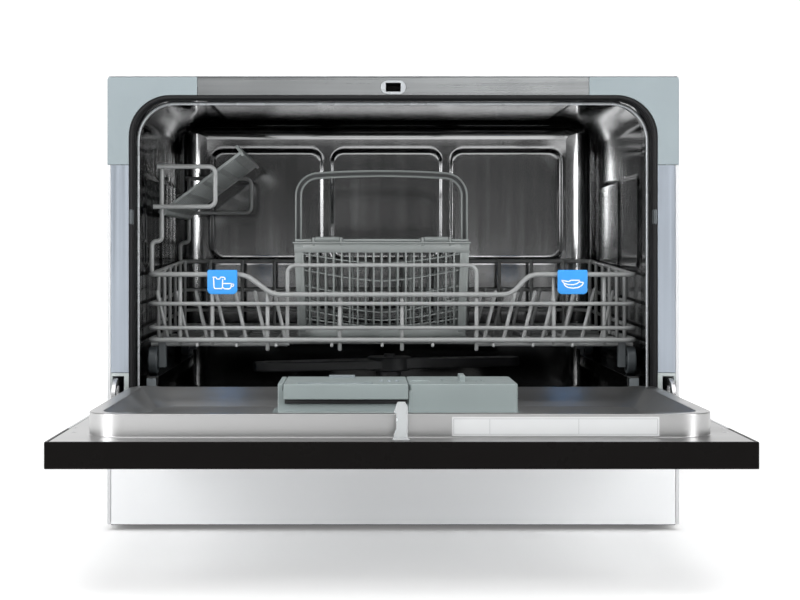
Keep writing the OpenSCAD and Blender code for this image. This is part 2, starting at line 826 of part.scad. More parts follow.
module door_inner_pan() {
    color("silver") place() {
        low = pivot_z - pan_t;
        top = pivot_z + pan_h;
        low_rim_x = pan_x - pan_rim;
        cut_y = -pan_rear - 26;
        difference() {
            union() {
                box([-flange_x, flange_x], [-door_reach + side_wall + seat, -door_back], [low - 0.2, pivot_z]);
                pan_block(0, low, top);
            }
            difference() {
                pan_block(pan_t, low - 5, top - pan_t);
                pan_recess(pan_t);
                box([-low_rim_x - 1, low_rim_x + 1], [-pan_rear - 9, 0], [low, top]);
            }
            pan_recess(0);
            box([-low_rim_x, low_rim_x], [-pan_rear - 7, 0], [pivot_z + pan_low_rim, top + 1]);
            both_sides() box([slot_in - 0.5, slot_out + 0.5], [-34, 0], [low - 1, pivot_z + 1]);
            dispenser_hole(0.5);
        }
    }
}

// The hole through the pan's floor for the dispenser, grown by g
module dispenser_hole(g) {
    box([-disp_w / 2 + 6 - g, disp_w / 2 - 6 + g],
        [-disp_y - disp_d / 2 + 6 - g, -disp_y + disp_d / 2 - 6 + g], [pivot_z - 6, pivot_z + pan_floor + 1]);
}

module dispenser_base() {
    color("slategray") place() translate([0, -disp_y, 0]) {
        half = disp_w / 2;
        deep = disp_d / 2;
        seat_z = pivot_z + pan_floor + 0.6;
        low = pivot_z - 14;
        top = pivot_z + disp_h;
        lid_z = top - lid_skin;
        split = lid_x1 + 0.6;
        difference() {
            union() {
                translate([0, 0, seat_z]) linear_extrude(3) rounded([-half - 7, -deep - 7], [half + 7, deep + 7], 8);
                translate([0, 0, seat_z]) linear_extrude(lid_z - seat_z - 0.3)
                    rounded([-half, -deep], [split + 4, deep], 4);
                translate([0, 0, seat_z]) linear_extrude(top - seat_z) rounded([split, -deep], [half, deep], 4);
                box([-half, lid_x0 - 0.5], [-deep + 4, deep - 4], [lid_z - 1, top]);
                box([-half + 6, half - 6], [-deep + 6, deep - 6], [low, seat_z + 1]);
            }
            box([lid_x0 + 8, lid_x1 - 8], [-deep + 10, deep - 10], [pivot_z + 4, top + 1]);
            box([split + 3, half - 3], [-deep + 9, deep - 9], [low + 3, top - 4]);
            translate([cap_x, 0, top - 3]) cylinder(r = cap_r + 1, h = 10);
            translate([cap_x, 0, top - 10]) cylinder(r = cap_r - 6, h = 10);
            box([-half - 1, lid_x1 + 0.4], [-deep - 1, -deep + 4], [seat_z + 8, lid_z]);
        }
    }
}

module dispenser_lid() {
    color("slategray") place() translate([0, -disp_y, 0]) {
        top = pivot_z + disp_h;
        low = top - lid_skin;
        front = 13;
        difference() {
            union() {
                box([lid_x0, lid_x1], [-lid_y - 1.5, lid_y], [low + 0.2, top]);
                box([lid_x0, lid_x1], [-lid_y - 3.5, -lid_y - 1.3], [top - front, top]);
            }
            box([release_x - 12, release_x + 12], [lid_y - 12, lid_y - 2], [top - 3, top + 1]);
        }
    }
}

module lid_release() {
    color("darkgray") place() translate([0, -disp_y, 0]) {
        top = pivot_z + disp_h;
        box([release_x - 11.5, release_x + 11.5], [lid_y - 11.5, lid_y - 2.5], [top - 1.2, top + 1.8]);
    }
}

module rinse_cap() {
    color("slategray") place() translate([cap_x, -disp_y, pivot_z + disp_h]) {
        translate([0, 0, -2.7]) cylinder(r = cap_r, h = 2.4);
        translate([0, 0, -10]) cylinder(r = cap_r - 6.4, h = 8);
        box([-2.5, 2.5], [-cap_r + 3, cap_r - 3], [-1, 5]);
    }
}

module door_hook() {
    color("white") place() translate([0, -hook_y, pivot_z]) {
        thick = 5;
        along_y(-thick / 2, thick / 2)
            polygon([[-6, 0], [-6, 5], [-4, 9], [-4, hook_h - 9], [-6, hook_h - 8.5], [-3, hook_h], [3, hook_h],
                [5, hook_h - 4], [5, 0]]);
        linear_extrude(1.8) rounded([-6.8, -4.3], [6.8, 3.1], 2);
    }
}

module hinge_arms() {
    color("silver") place() both_sides() along_x(arm_in, arm_out) difference() {
        union() {
            translate([0, pivot_z]) circle(4.6);
            translate([0, pivot_z]) intersection() {
                difference() {
                    circle(arc_out);
                    circle(arc_in);
                }
                polygon([[0, 0], 80 * [cos(arc_tail), sin(arc_tail)], [0, 80], [-80, 80], [-80, -0.5]]);
            }
            translate([-80, pivot_z - 18]) square([72, 16.5]);
            translate([-20, pivot_z - 4.6]) square([20, 3]);
            translate([-arc_out, pivot_z - 10]) square([arc_out - arc_in, 10]);
        }
        translate([0, pivot_z]) circle(d = hinge_pin_d + 2 * pin_gap);
    }
}

module rack_floor() {
    color("gray") place() {
        half = basket_w / 2 + 6;
        long = [for (k = [0, 2, 4]) for (side = [-1, 1])
            basket_x + side * (half + (side > 0 ? 6 : 1) + (k + 0.5) * tine_pitch)];
        for (k = [0:3]) {
            y = cross_front_y + k * cross_step;
            rod([-rack_x, y, low_wire_z], [rack_x, y, low_wire_z], wire_d);
        }
        for (x = concat(long, [basket_x - 50, basket_x, basket_x + 50]))
            rod([x, rack_front_y + 7.5, long_wire_z], [x, rack_rear_y - 7.5, long_wire_z], wire_d);
    }
}

// One level wire of the rack's front or rear, with a return at each end
module level_wire(y, back, z, d) {
    wire([[-rack_x, y + back, z], [-rack_x, y, z], [rack_x, y, z], [rack_x, y + back, z]],
        [rack_bend, rack_bend], d);
}

module rack_front() {
    color("gray") place() {
        y = rack_front_y;
        x0 = basket_x - basket_w / 2 - 22;
        x1 = basket_x + basket_w / 2 + 39;
        back = rack_bend + 0.5;
        in = (rim_d + wire_d) / 2 - 0.6;
        dip_z = rack_top - dip_h;
        dip_r = 6.5;
        wire([[-rack_x, y + back, rack_top], [-rack_x, y, rack_top], [x0 - 7, y, rack_top], [x0 - 7, y, dip_z],
            [x1 + 7, y, dip_z], [x1 + 7, y, rack_top], [rack_x, y, rack_top], [rack_x, y + back, rack_top]],
            [rack_bend, dip_r, dip_r, dip_r, dip_r, rack_bend], rim_d);
        for (z = [rack_z, rack_z + 12, rack_z + 36]) level_wire(y, back, z, z == rack_z ? rim_d : wire_d);
        for (x = [-103, -56, 10, 52, 84] * (basket_w / 177))
            rod([x, y + in, rack_z - 11], [x, y + in, dip_z + 1], wire_d);
        for (x = [-rack_x + 30, -rack_x + 100, 140, rack_x - 30])
            rod([x, y + in, rack_z - 1], [x, y + in, rack_top + 1], wire_d);
    }
}

module rack_rear() {
    color("gray") place() {
        y = rack_rear_y;
        back = -rack_bend - 0.5;
        in = (rim_d + wire_d) / 2 - 0.6;
        top = rack_top + rear_rise;
        level_wire(y, back, top, rim_d);
        for (z = [rack_z, rack_z + 18, rack_z + 42]) level_wire(y, back, z, z == rack_z ? rim_d : wire_d);
        for (k = [0:11]) rod([-rack_x + 30 + k * (rack_x - 30) / 5.5, y - in, rack_z - 1],
            [-rack_x + 30 + k * (rack_x - 30) / 5.5, y - in, top + 1], wire_d);
    }
}

module rack_sides() {
    color("gray") place() both_sides() {
        y0 = rack_front_y + rack_bend + 0.7;
        y1 = rack_rear_y - rack_bend - 0.7;
        in = (rim_d + wire_d) / 2 - 0.6;
        rod([rack_x, y0, rack_top], [rack_x, y1, rack_top + rear_rise], rim_d);
        rod([rack_x, y0, rack_z], [rack_x, y1, rack_z], rim_d);
        rod([rack_x, y0, rack_z + 12], [rack_x, y1, rack_z + 18], wire_d);
        rod([rack_x, y0, rack_z + 36], [rack_x, y1, rack_z + 42], wire_d);
        for (k = [0:5]) {
            y = y0 + 18 + k * (y1 - y0 - 36) / 5;
            rod([rack_x - in, y, rack_z - 1], [rack_x - in, y, rack_top + rear_rise * (y - y0) / (y1 - y0) + 1], wire_d);
        }
    }
}

// A row of tines on its own base wire, leaning across the rack
module tine_row(x0, y, lean, base) {
    tine_d = wire_d - 0.2;
    tine_h = 52;
    rod([base[0], y, row_wire_z], [base[1], y, row_wire_z], wire_d);
    for (k = [0:tine_count - 1]) {
        x = x0 + k * tine_pitch;
        rod([x, y, row_wire_z], [x + lean, y, row_wire_z + tine_h], tine_d);
        translate([x + lean, y, row_wire_z + tine_h]) sphere(d = tine_d, $fn = 16);
    }
}

module rack_tines() {
    color("gray") place() {
        left_end = basket_x - basket_w / 2 - 6;
        right_end = basket_x + basket_w / 2 + 6;
        tine_row(left_end - 1 - (tine_count - 1) * tine_pitch, front_row_y, -12, [-rack_x, left_end]);
        tine_row(right_end + 6, front_row_y, 13, [right_end, rack_x]);
        tine_row(right_end + 6, second_row_y, 13, [right_end, rack_x]);
        wire([[left_end, front_row_y, row_wire_z - 1], [left_end, front_row_y, rack_top + 9],
            [right_end, front_row_y, rack_top + 9], [right_end, front_row_y, row_wire_z - 1]], [8, 8], wire_d);
        rod([-rack_x, rear_row_y, row_wire_z], [rack_x, rear_row_y, row_wire_z], wire_d);
    }
}

module rack_tag(x, z) {
    half = 14.8;
    front = rack_front_y - rim_d / 2 - 2.2;
    back = rack_front_y + rim_d / 2 + 2;
    box([x - half, x + half], [front, front + 1.8], [z - 19.5, z + 4.5]);
    box([x - half, x + half], [front, back], [z + rim_d / 2 + 0.3, z + rim_d / 2 + 2]);
    box([x - half, x + half], [back - 1.6, back], [z - 2, z + rim_d / 2 + 1]);
}

module rack_tags() {
    color("dodgerblue") place() {
        rack_tag(-168, rack_top);
        rack_tag(178, rack_top);
    }
}

module wheel_points() {
    both_sides() for (y = [front_row_y, rear_row_y]) translate([wheel_x, y, wheel_z]) children();
}

module wheel_clips() {
    color("gray") place() difference() {
        wheel_points() {
            out = -wheel_w / 2 - 0.5;
            box([out - 7.5, out], [-5, 5], [-7, row_wire_z + wire_d / 2 + 1.2 - wheel_z]);
            translate([out - 1, 0, 0]) rotate([0, 90, 0]) cylinder(r = 3, h = wheel_w + 2);
            translate([wheel_w / 2 + 0.5, 0, 0]) rotate([0, 90, 0]) cylinder(r = 4, h = 1);
        }
        for (y = [front_row_y, rear_row_y])
            rod([-body_w, y, row_wire_z], [body_w, y, row_wire_z], wire_d + 2 * pin_gap);
    }
}

module wheel() {
    half = wheel_w / 2;
    translate([wheel_x, 0, wheel_z]) rotate([0, 90, 0]) rotate_extrude() polygon([[3 + pin_gap, -half],
        [6, -half], [6, -half + 1.5], [wheel_r - 3, -half + 1.5], [wheel_r - 3, -half], [wheel_r - 1, -half],
        [wheel_r, -half + 1], [wheel_r, half - 1], [wheel_r - 1, half], [wheel_r - 3, half],
        [wheel_r - 3, half - 1.5], [6, half - 1.5], [6, half], [3 + pin_gap, half]]);
}

module front_left_wheel() { color("gray") place() translate([0, front_row_y, 0]) mirror([1, 0, 0]) wheel(); }

module front_right_wheel() { color("gray") place() translate([0, front_row_y, 0]) wheel(); }

module rear_left_wheel() { color("gray") place() translate([0, rear_row_y, 0]) mirror([1, 0, 0]) wheel(); }

module rear_right_wheel() { color("gray") place() translate([0, rear_row_y, 0]) wheel(); }

module shelf_loop(y, side, right) {
    low = shelf_z + 4.5;
    high = low + 40;
    d = rim_d - 0.4;
    front = y - side * (d - 0.6);
    foot = rack_top + rear_rise * (y - rack_front_y - rack_bend) / (rack_rear_y - rack_front_y - 2 * rack_bend);
    wire([[-rack_x, y, foot + rim_d / 2 + 0.2], [-rack_x, y, shelf_z - 30], [shelf_x, y, shelf_z - 30],
        [shelf_x, y, high + 1]], [4.8, 4.8], d);
    wire([[shelf_x - 4, front, high], [right, front, high], [right, front, low], [shelf_x - 8, front, low]],
        [7, 7], d);
}

module shelf_loops() {
    color("gray") place() {
        shelf_loop(shelf_front_y, 1, shelf_x + 54);
        shelf_loop(shelf_rear_y, -1, shelf_x + 72);
        rod([shelf_x, shelf_front_y, shelf_z], [shelf_x, shelf_rear_y, shelf_z], 2 * shelf_rod_r);
    }
}

module cup_shelf() {
    color("slategray") place() translate([shelf_x, 0, shelf_z]) rotate([0, -shelf_tilt, 0]) {
        y0 = shelf_front_y + 6;
        y1 = shelf_rear_y - 6;
        slot = 12;
        count = floor((y1 - y0 - 8) / 16);
        difference() {
            union() {
                translate([0, y1, 0]) rotate([90, 0, 0]) cylinder(r = 4, h = y1 - y0);
                box([0, shelf_w], [y0, y1], [-1.5, 1.5]);
                box([shelf_w - 3, shelf_w], [y0, y1], [-4, 1.5]);
                for (k = [0:count - 1]) box([shelf_w - 3, shelf_w], [y0 + 6 + 16 * k, y0 + 14 + 16 * k], [0, 9]);
            }
            translate([0, y1 + 1, 0]) rotate([90, 0, 0]) cylinder(r = shelf_rod_r + pin_gap, h = y1 - y0 + 2);
            for (k = [0:count - 1], j = [0:3])
                box([12 + j * (shelf_w - 18) / 4, 7 + (j + 1) * (shelf_w - 18) / 4],
                    [y0 + 6 + 16 * k, y0 + 6 + slot + 16 * k], [-3, 3]);
        }
    }
}

// The basket's tapered block, moved in by g, from its floor z0 up
module basket_block(g, z0) {
    hull() {
        box([-basket_w / 2 + g, basket_w / 2 - g], [g, basket_d - g], [basket_top - 0.5, basket_top + (g > 0 ? 1 : 0)]);
        box([-basket_w / 2 + basket_draft + g, basket_w / 2 - basket_draft - g],
            [basket_draft + g, basket_d - basket_draft - g], [z0, z0 + 0.5]);
    }
}

module basket_slots() {
    count = floor((basket_w - 22) / bar_pitch);
    ends = floor((basket_d - 22) / bar_pitch);
    open_w = bar_pitch - 3;
    rows = 3;
    step = (basket_h - 22) / rows;
    for (r = [0:rows - 1]) {
        z = basket_z + 9 + r * step;
        for (k = [0:count - 1]) {
            x = -(count * bar_pitch - 3) / 2 + k * bar_pitch;
            box([x, x + open_w], [-1, basket_d + 1], [z, z + step - 3]);
        }
        for (k = [0:ends - 1]) {
            y = (basket_d - ends * bar_pitch + 3) / 2 + k * bar_pitch;
            box([-basket_w, basket_w], [y, y + open_w], [z, z + step - 3]);
        }
    }
    for (k = [0:count - 1]) {
        x = -(count * bar_pitch - 3) / 2 + k * bar_pitch;
        box([x, x + open_w], [basket_draft + 5, basket_d / 2 - 3], [basket_z - 1, basket_z + 5]);
        box([x, x + open_w], [basket_d / 2 + 3, basket_d - basket_draft - 5], [basket_z - 1, basket_z + 5]);
    }
}

// The ears and pins that carry one lid on the basket's edge
module lid_ears(y) {
    for (x = lid_hinges) translate([x, y, lid_axis_z]) {
        rotate([0, 90, 0]) cylinder(r = lid_pin_r, h = 28, center = true);
        for (side = [-1, 1]) translate([side * 14, 0, 0]) {
            rotate([0, 90, 0]) cylinder(r = lid_barrel_r, h = 2.4, center = true);
            box([-1.2, 1.2], [-1.2, 1.2], [basket_top - 4 - lid_axis_z, 0]);
        }
    }
}

// The handle's arch, whose feet clip into the basket's ends, grown by g
module basket_handle(g) {
    half = basket_w / 2 + 0.5;
    low = basket_top - 30;
    arch = 26;
    translate([0, basket_d / 2, 0]) along_y(-handle_t / 2 - g, handle_t / 2 + g) difference() {
        ring_of([-half - g, low - arch - g], [half + g, basket_top + handle_h + g], arch + g, handle_t + 2 * g);
        translate([-half - 1, low - arch - 1 - g]) square([2 * half + 2, arch + 1]);
    }
}

module cutlery_basket() {
    color("slategray") place() translate([basket_x, basket_y, 0]) {
        difference() {
            basket_block(0, basket_z);
            basket_block(basket_wall, basket_z + basket_floor_t);
            basket_slots();
            basket_handle(seat);
        }
        intersection() {
            basket_block(basket_wall + seat, basket_z + basket_floor_t + seat);
            for (x = [-basket_w / 6, basket_w / 6])
                box([x - 0.8, x + 0.8], [0, basket_d], [basket_z, basket_top - 12]);
        }
        basket_handle(0);
        lid_ears(lid_axis_in);
        lid_ears(basket_d - lid_axis_in);
    }
}

// One half lid, hinged at the basket's edge, drawn at the front edge
module half_lid() {
    half = basket_w / 2 - 1;
    back = basket_d / 2 - 5;
    low = basket_top + 0.4;
    difference() {
        union() {
            box([-half, half], [0.3, back], [low, low + lid_t]);
            for (x = lid_hinges) translate([x, lid_axis_in, lid_axis_z])
                rotate([0, 90, 0]) cylinder(r = lid_barrel_r, h = 24, center = true);
        }
        for (x = lid_hinges) {
            translate([x, lid_axis_in, lid_axis_z]) rotate([0, 90, 0])
                cylinder(r = lid_pin_r + pin_gap, h = 60, center = true);
            for (side = [-1, 1])
                translate([x + side * 14, 0, 0]) box([-1.9, 1.9], [-3, 5], [basket_top - 1, low + 8]);
            box([x - 15, x - 12.2], [-3, lid_axis_in + 3.5], [low - 1, low + 8]);
            box([x + 12.2, x + 15], [-3, lid_axis_in + 3.5], [low - 1, low + 8]);
        }
        for (k = [0:8], j = [0:1])
            box([-half + 14 + k * 18, -half + 24 + k * 18], [9 + j * 12, 17 + j * 12], [low - 1, low + 8]);
    }
}

module front_lid() { color("slategray") place() translate([basket_x, basket_y, 0]) half_lid(); }

module rear_lid() {
    color("slategray") place() translate([basket_x, basket_y + basket_d, 0]) mirror([0, 1, 0]) half_lid();
}

top_panel();
left_side_panel();
right_side_panel();
rear_panel();
base_tray();
feet();
plinth_panel();
front_top_rail();
frame_corners();
side_posts();
hinge_covers();
tub();
door_gasket();
latch_bezel();
door_latch();
rack_rails();
rail_stops();
sump();
filter_plate();
filter_cup();
salt_cap();
softener_tank();
wash_pump();
drain_pump();
inlet_valve();
drain_spigot();
cord_gland();
spray_arm();
hinge_brackets();
hinge_springs();
door_outer_panel();
control_panel();
display_window();
power_button();
programme_button();
start_button();
door_inner_pan();
dispenser_base();
dispenser_lid();
lid_release();
rinse_cap();
door_hook();
hinge_arms();
control_board();
rack_floor();
rack_front();
rack_rear();
rack_sides();
rack_tines();
rack_tags();
wheel_clips();
shelf_loops();
front_left_wheel();
front_right_wheel();
rear_left_wheel();
rear_right_wheel();
cup_shelf();
cutlery_basket();
front_lid();
rear_lid();
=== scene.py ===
import bpy
import bmesh
import json
import math
from mathutils import Matrix, Vector


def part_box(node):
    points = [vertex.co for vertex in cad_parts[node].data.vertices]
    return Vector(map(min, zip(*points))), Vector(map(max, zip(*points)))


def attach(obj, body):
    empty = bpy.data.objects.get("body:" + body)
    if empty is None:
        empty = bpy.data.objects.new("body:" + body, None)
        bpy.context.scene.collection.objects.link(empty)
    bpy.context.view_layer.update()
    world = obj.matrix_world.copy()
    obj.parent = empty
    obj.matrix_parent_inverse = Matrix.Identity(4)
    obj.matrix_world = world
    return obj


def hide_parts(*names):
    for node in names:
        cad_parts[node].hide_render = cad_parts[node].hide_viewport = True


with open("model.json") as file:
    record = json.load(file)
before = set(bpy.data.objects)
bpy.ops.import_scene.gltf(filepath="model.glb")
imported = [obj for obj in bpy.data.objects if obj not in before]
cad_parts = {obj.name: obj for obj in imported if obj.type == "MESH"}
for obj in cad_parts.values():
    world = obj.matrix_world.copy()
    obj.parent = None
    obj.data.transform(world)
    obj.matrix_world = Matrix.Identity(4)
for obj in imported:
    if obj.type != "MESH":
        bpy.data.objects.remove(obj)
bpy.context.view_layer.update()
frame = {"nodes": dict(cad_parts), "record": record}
nodes = frame["nodes"]
record = frame["record"]
SLOT = {s["node"]: s["material_slot"] for s in record["subparts"]}
BODY = {n: b for b, ns in record["behaviour"]["bodies"].items() for n in ns}

# The front frame's plane, a little in front of the top panel
FRAME_PROUD = 0.0006
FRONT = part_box("top_panel")[0].y - FRAME_PROUD


def add_object(name, data):
    ob = bpy.data.objects.new(name, data)
    bpy.context.scene.collection.objects.link(ob)
    return ob


# Camera, level and straight in front of the open door
CAMERA_X, CAMERA_DISTANCE, CAMERA_HEIGHT = -0.032, 1.565, 0.268
SENSOR, FOCAL_PIXELS, PICTURE_PIXELS = 36, 1628, 800
SHIFT_X, SHIFT_Y, CLIP_START = 0.05, -0.06, 0.05
cam_data = bpy.data.cameras.new("camera")
cam = add_object("camera", cam_data)
cam.location = (CAMERA_X, FRONT - CAMERA_DISTANCE, CAMERA_HEIGHT)
cam.rotation_euler = (math.radians(90), 0, 0)
cam_data.lens = SENSOR * FOCAL_PIXELS / PICTURE_PIXELS
cam_data.sensor_width = SENSOR
cam_data.shift_x = SHIFT_X
cam_data.shift_y = SHIFT_Y
cam_data.clip_start = CLIP_START
bpy.context.scene.camera = cam


# A node tree. An input is a value or another node's output
class Tree:
    def __init__(self, tree):
        self.tree = tree

    def feed(self, socket, value):
        if isinstance(value, bpy.types.NodeSocket):
            self.tree.links.new(value, socket)
        else:
            socket.default_value = value

    def node(self, kind, **inputs):
        made = self.tree.nodes.new("ShaderNode" + kind)
        for name, value in inputs.items():
            self.feed(made.inputs[name.replace("_", " ")], value)
        return made

    def span(self, value, low, high, start=0.3, end=0.7):
        made = self.node("MapRange", Value=value, From_Min=start, From_Max=end, To_Min=low, To_Max=high)
        return made.outputs["Result"]

    def math(self, operation, *values):
        made = self.node("Math")
        made.operation = operation
        for socket, value in zip(made.inputs, values):
            self.feed(socket, value)
        return made.outputs["Value"]

    def axes(self, place):
        return self.node("SeparateXYZ", Vector=place).outputs


# A material whose patterns follow the object's own coordinates
class Material(Tree):
    BUMP_DEPTH = 0.0002

    def __init__(self, name):
        self.made = bpy.data.materials.new(name)
        self.made.use_nodes = True
        super().__init__(self.made.node_tree)
        self.surface = self.tree.nodes["Principled BSDF"]
        self.place = self.node("TexCoord").outputs["Object"]

    def put(self, **inputs):
        for name, value in inputs.items():
            self.feed(self.surface.inputs[name.replace("_", " ")], value)
        return self.made

    def stretched(self, scale):
        return self.node("Mapping", Vector=self.place, Scale=scale).outputs["Vector"]

    def noise(self, scale, detail, roughness=0.5, place=None):
        made = self.node("TexNoise", Vector=place or self.place, Scale=scale, Detail=detail,
                         Roughness=roughness)
        return made.outputs["Fac"]

    def cells(self, scale):
        return self.node("TexVoronoi", Vector=self.place, Scale=scale).outputs["Distance"]

    def mix(self, factor, a, b):
        made = self.node("Mix")
        made.data_type = "RGBA"
        for name, value in (("Factor", factor), ("A", (*a, 1)), ("B", (*b, 1))):
            self.feed(made.inputs[name], value)
        return made.outputs["Result"]

    def scaled(self, tone, factor):
        made = self.node("VectorMath")
        made.operation = "SCALE"
        self.feed(made.inputs[0], tone)
        self.feed(made.inputs["Scale"], factor)
        return made.outputs["Vector"]

    def bump(self, height, strength):
        made = self.node("Bump", Height=height, Strength=strength, Distance=self.BUMP_DEPTH)
        return made.outputs["Normal"]


def shade(color, factor):
    return tuple(c * factor for c in color)


# A colour given in 0 to 255 steps, as the linear values that shaders use
def srgb(*channels):
    return tuple(c / 255 / 12.92 if c < 10.3 else ((c / 255 + 0.055) / 1.055) ** 2.4 for c in channels)


# Each finish has clouds in its colour, smears in its roughness and a fine relief
PLASTIC_CLOUDS, PLASTIC_SMEARS, PLASTIC_GRAIN = 14, 45, 900
PAINT_CLOUDS, PAINT_SMEARS, PAINT_PEEL = 5, 30, 420
STEEL_CLOUDS, STEEL_SPOTS, SPOT_EDGE = 9, 55, 0.14


def plastic(name, color, rough=0.4, grain=0.15, scale=PLASTIC_GRAIN, vary=0.06, **more):
    m = Material(name)
    clouds = m.span(m.noise(PLASTIC_CLOUDS, 3), 0, 1)
    return m.put(Base_Color=m.mix(clouds, shade(color, 1 - vary), shade(color, 1 + vary)),
                 Roughness=m.span(m.noise(PLASTIC_SMEARS, 4), rough - 0.05, rough + 0.07),
                 Normal=m.bump(m.noise(scale, 2), grain), **more)


def paint(name, color, rough, **more):
    m = Material(name)
    clouds = m.span(m.noise(PAINT_CLOUDS, 2), 0, 1)
    return m.put(Base_Color=m.mix(clouds, shade(color, 0.985), shade(color, 1.01)),
                 Roughness=m.span(m.noise(PAINT_SMEARS, 4), rough - 0.04, rough + 0.06),
                 Normal=m.bump(m.noise(PAINT_PEEL, 2), 0.10), Coat_Weight=0.25, Coat_Roughness=0.12, **more)


# Brushed steel. Painted light and shade: each fade scales the colour along an axis, between two places:
# (axis, low, high, factor at each). Axis W is the distance from the middle plane
def steel(name, color, rough, streak=(3, 260, 260), depth=0.05, spots=0.03, painted_shading=()):
    m = Material(name)
    lines = m.noise(1.0, 4, 0.6, m.stretched(streak))
    both = m.math("ADD", m.math("MULTIPLY", lines, 0.6), m.math("MULTIPLY", m.noise(STEEL_CLOUDS, 4), 0.4))
    tone = m.mix(m.span(both, 0, 1), shade(color, 0.88), shade(color, 1.08))
    for axis, low, high, at_low, at_high in painted_shading:
        axes = m.axes(m.place)
        place = m.math("ABSOLUTE", axes["X"]) if axis == "W" else axes[axis]
        tone = m.scaled(tone, m.span(place, at_low, at_high, low, high))
    dots = m.span(m.cells(STEEL_SPOTS), spots, 0, 0, SPOT_EDGE)
    return m.put(Base_Color=tone, Roughness=m.math("ADD", m.span(both, rough * 0.75, rough * 1.3), dots),
                 Normal=m.bump(lines, depth), Metallic=1)


# Materials by short name, and the CAD nodes that wear each
M = {
    "white": paint("white_paint", (0.58, 0.59, 0.60), 0.34),
    # The plinth's paint is a brighter copy of the white paint: painted light for the plinth, which lies in
    # the door's shadow
    "plinth": paint("plinth_paint_lit_copy", (0.80, 0.81, 0.82), 0.34),
    "rear": paint("rear_sheet", (0.62, 0.63, 0.64), 0.45, Metallic=0.5),
    # Painted shade and light on the top rail: darker at its left end, brighter at its right end
    "rail": steel("top_rail_steel_painted_shade", (0.58, 0.60, 0.61), 0.28, (2, 120, 160), 0.015,
                  painted_shading=[("X", -0.2, 0.2, 0.5, 1.1)]),
    "post": steel("post_steel", srgb(172, 180, 190), 0.36, (260, 260, 2.2), 0.08),
    "corner": plastic("corner_plastic", srgb(132, 142, 146), 0.38, 0.1, vary=0.04),
    "cover": plastic("hinge_cover_plastic", srgb(164, 171, 170), 0.38, 0.1),
    # Painted shade on the tub: darker towards its floor and its roof, on its side walls, and towards the left
    "tub": steel("tub_steel_painted_shade", (0.62, 0.625, 0.63), 0.11, (60, 60, 1.5), 0.008, 0.02,
                 painted_shading=[("Z", 0.165, 0.245, 0.16, 1), ("Z", 0.392, 0.416, 1, 0.2),
                        ("W", 0.236, 0.243, 1, 0.34), ("X", -0.21, -0.02, 0.6, 1)]),
    # Painted light and shade on the pan: brighter at its left end, darker from the middle rightwards
    "pan": steel("pan_steel_painted_shade", (0.50, 0.50, 0.50), 0.32, (1.5, 30, 30), 0.003, 0.01,
                 painted_shading=[("X", -0.24, -0.02, 1.05, 0.8)]),
    "filter": steel("filter_steel", (0.5, 0.5, 0.5), 0.3),
    "hinge": steel("hinge_steel", (0.55, 0.55, 0.56), 0.28),
    "chrome": plastic("bezel_silver", srgb(176, 180, 183), 0.28, 0.05, vary=0.04, Metallic=0.3),
    "rubber": plastic("gasket_rubber", (0.007, 0.007, 0.008), 0.55, 0.25, 1400, 0.1, Specular_IOR_Level=0.3),
    "dark": plastic("housing_plastic", (0.035, 0.037, 0.04), 0.5, 0.3),
    "port": plastic("port_plastic", (0.7, 0.7, 0.68), 0.42),
    # Near-black sheet under the neck's roof: painted shade
    "neck": plastic("neck_painted_shade", (0.035, 0.037, 0.040), 0.3, 0.1, 300, 0.3, Metallic=0.3),
    # Near-black plastic of the spray arm, also used as painted shade in the basket handle's groove
    "deep": plastic("spray_arm_plastic_and_groove_shade", (0.022, 0.024, 0.025), 0.45, 0.2),
    "grey": plastic("grey_plastic", srgb(116, 122, 125), 0.42, 0.15),
    "wheel": plastic("wheel_plastic", srgb(66, 71, 74), 0.42, 0.15),
    "clip": plastic("clip_plastic", srgb(80, 85, 88), 0.42, 0.15),
    "basket": plastic("basket_plastic", srgb(122, 127, 126), 0.44, 0.2),
    "dispenser": plastic("dispenser_plastic", srgb(138, 148, 148), 0.4, 0.18),
    "release": plastic("release_plastic", srgb(134, 143, 147), 0.35, 0.1),
    "black": plastic("panel_black", (0.0035, 0.003, 0.0028), 0.3, 0.02, vary=0.05, Specular_IOR_Level=0.05),
    "window": plastic("window_black", (0.012, 0.012, 0.014), 0.06, 0.0, vary=0.02,
                      Coat_Weight=1.0, Coat_Roughness=0.03),
    "button": plastic("button_silver", (0.62, 0.63, 0.64), 0.25, 0.05, vary=0.03, Metallic=0.8),
    "board": plastic("board_green", (0.02, 0.13, 0.05), 0.35),
    "glow": plastic("display_glow", (0.6, 0.75, 0.85), 0.4, 0.05,
                    Emission_Color=(0.7, 0.9, 1, 1), Emission_Strength=0.6),
    "hook": plastic("hook_plastic", (0.56, 0.58, 0.59), 0.25, 0.08, vary=0.02, Transmission_Weight=0.4),
    "wire": plastic("wire_coating", srgb(144, 146, 146), 0.34, 0.12, 700, 0.05,
                    Coat_Weight=0.2, Coat_Roughness=0.2),
    "tag": plastic("tag_blue", srgb(52, 148, 226), 0.34, 0.08),
    "ink": plastic("tag_white", (0.85, 0.87, 0.9), 0.4, 0.05),
    "label": paint("blank_plate", (0.56, 0.57, 0.575), 0.4),
    "print": plastic("print_grey", (0.30, 0.31, 0.32), 0.45, 0.05),
}
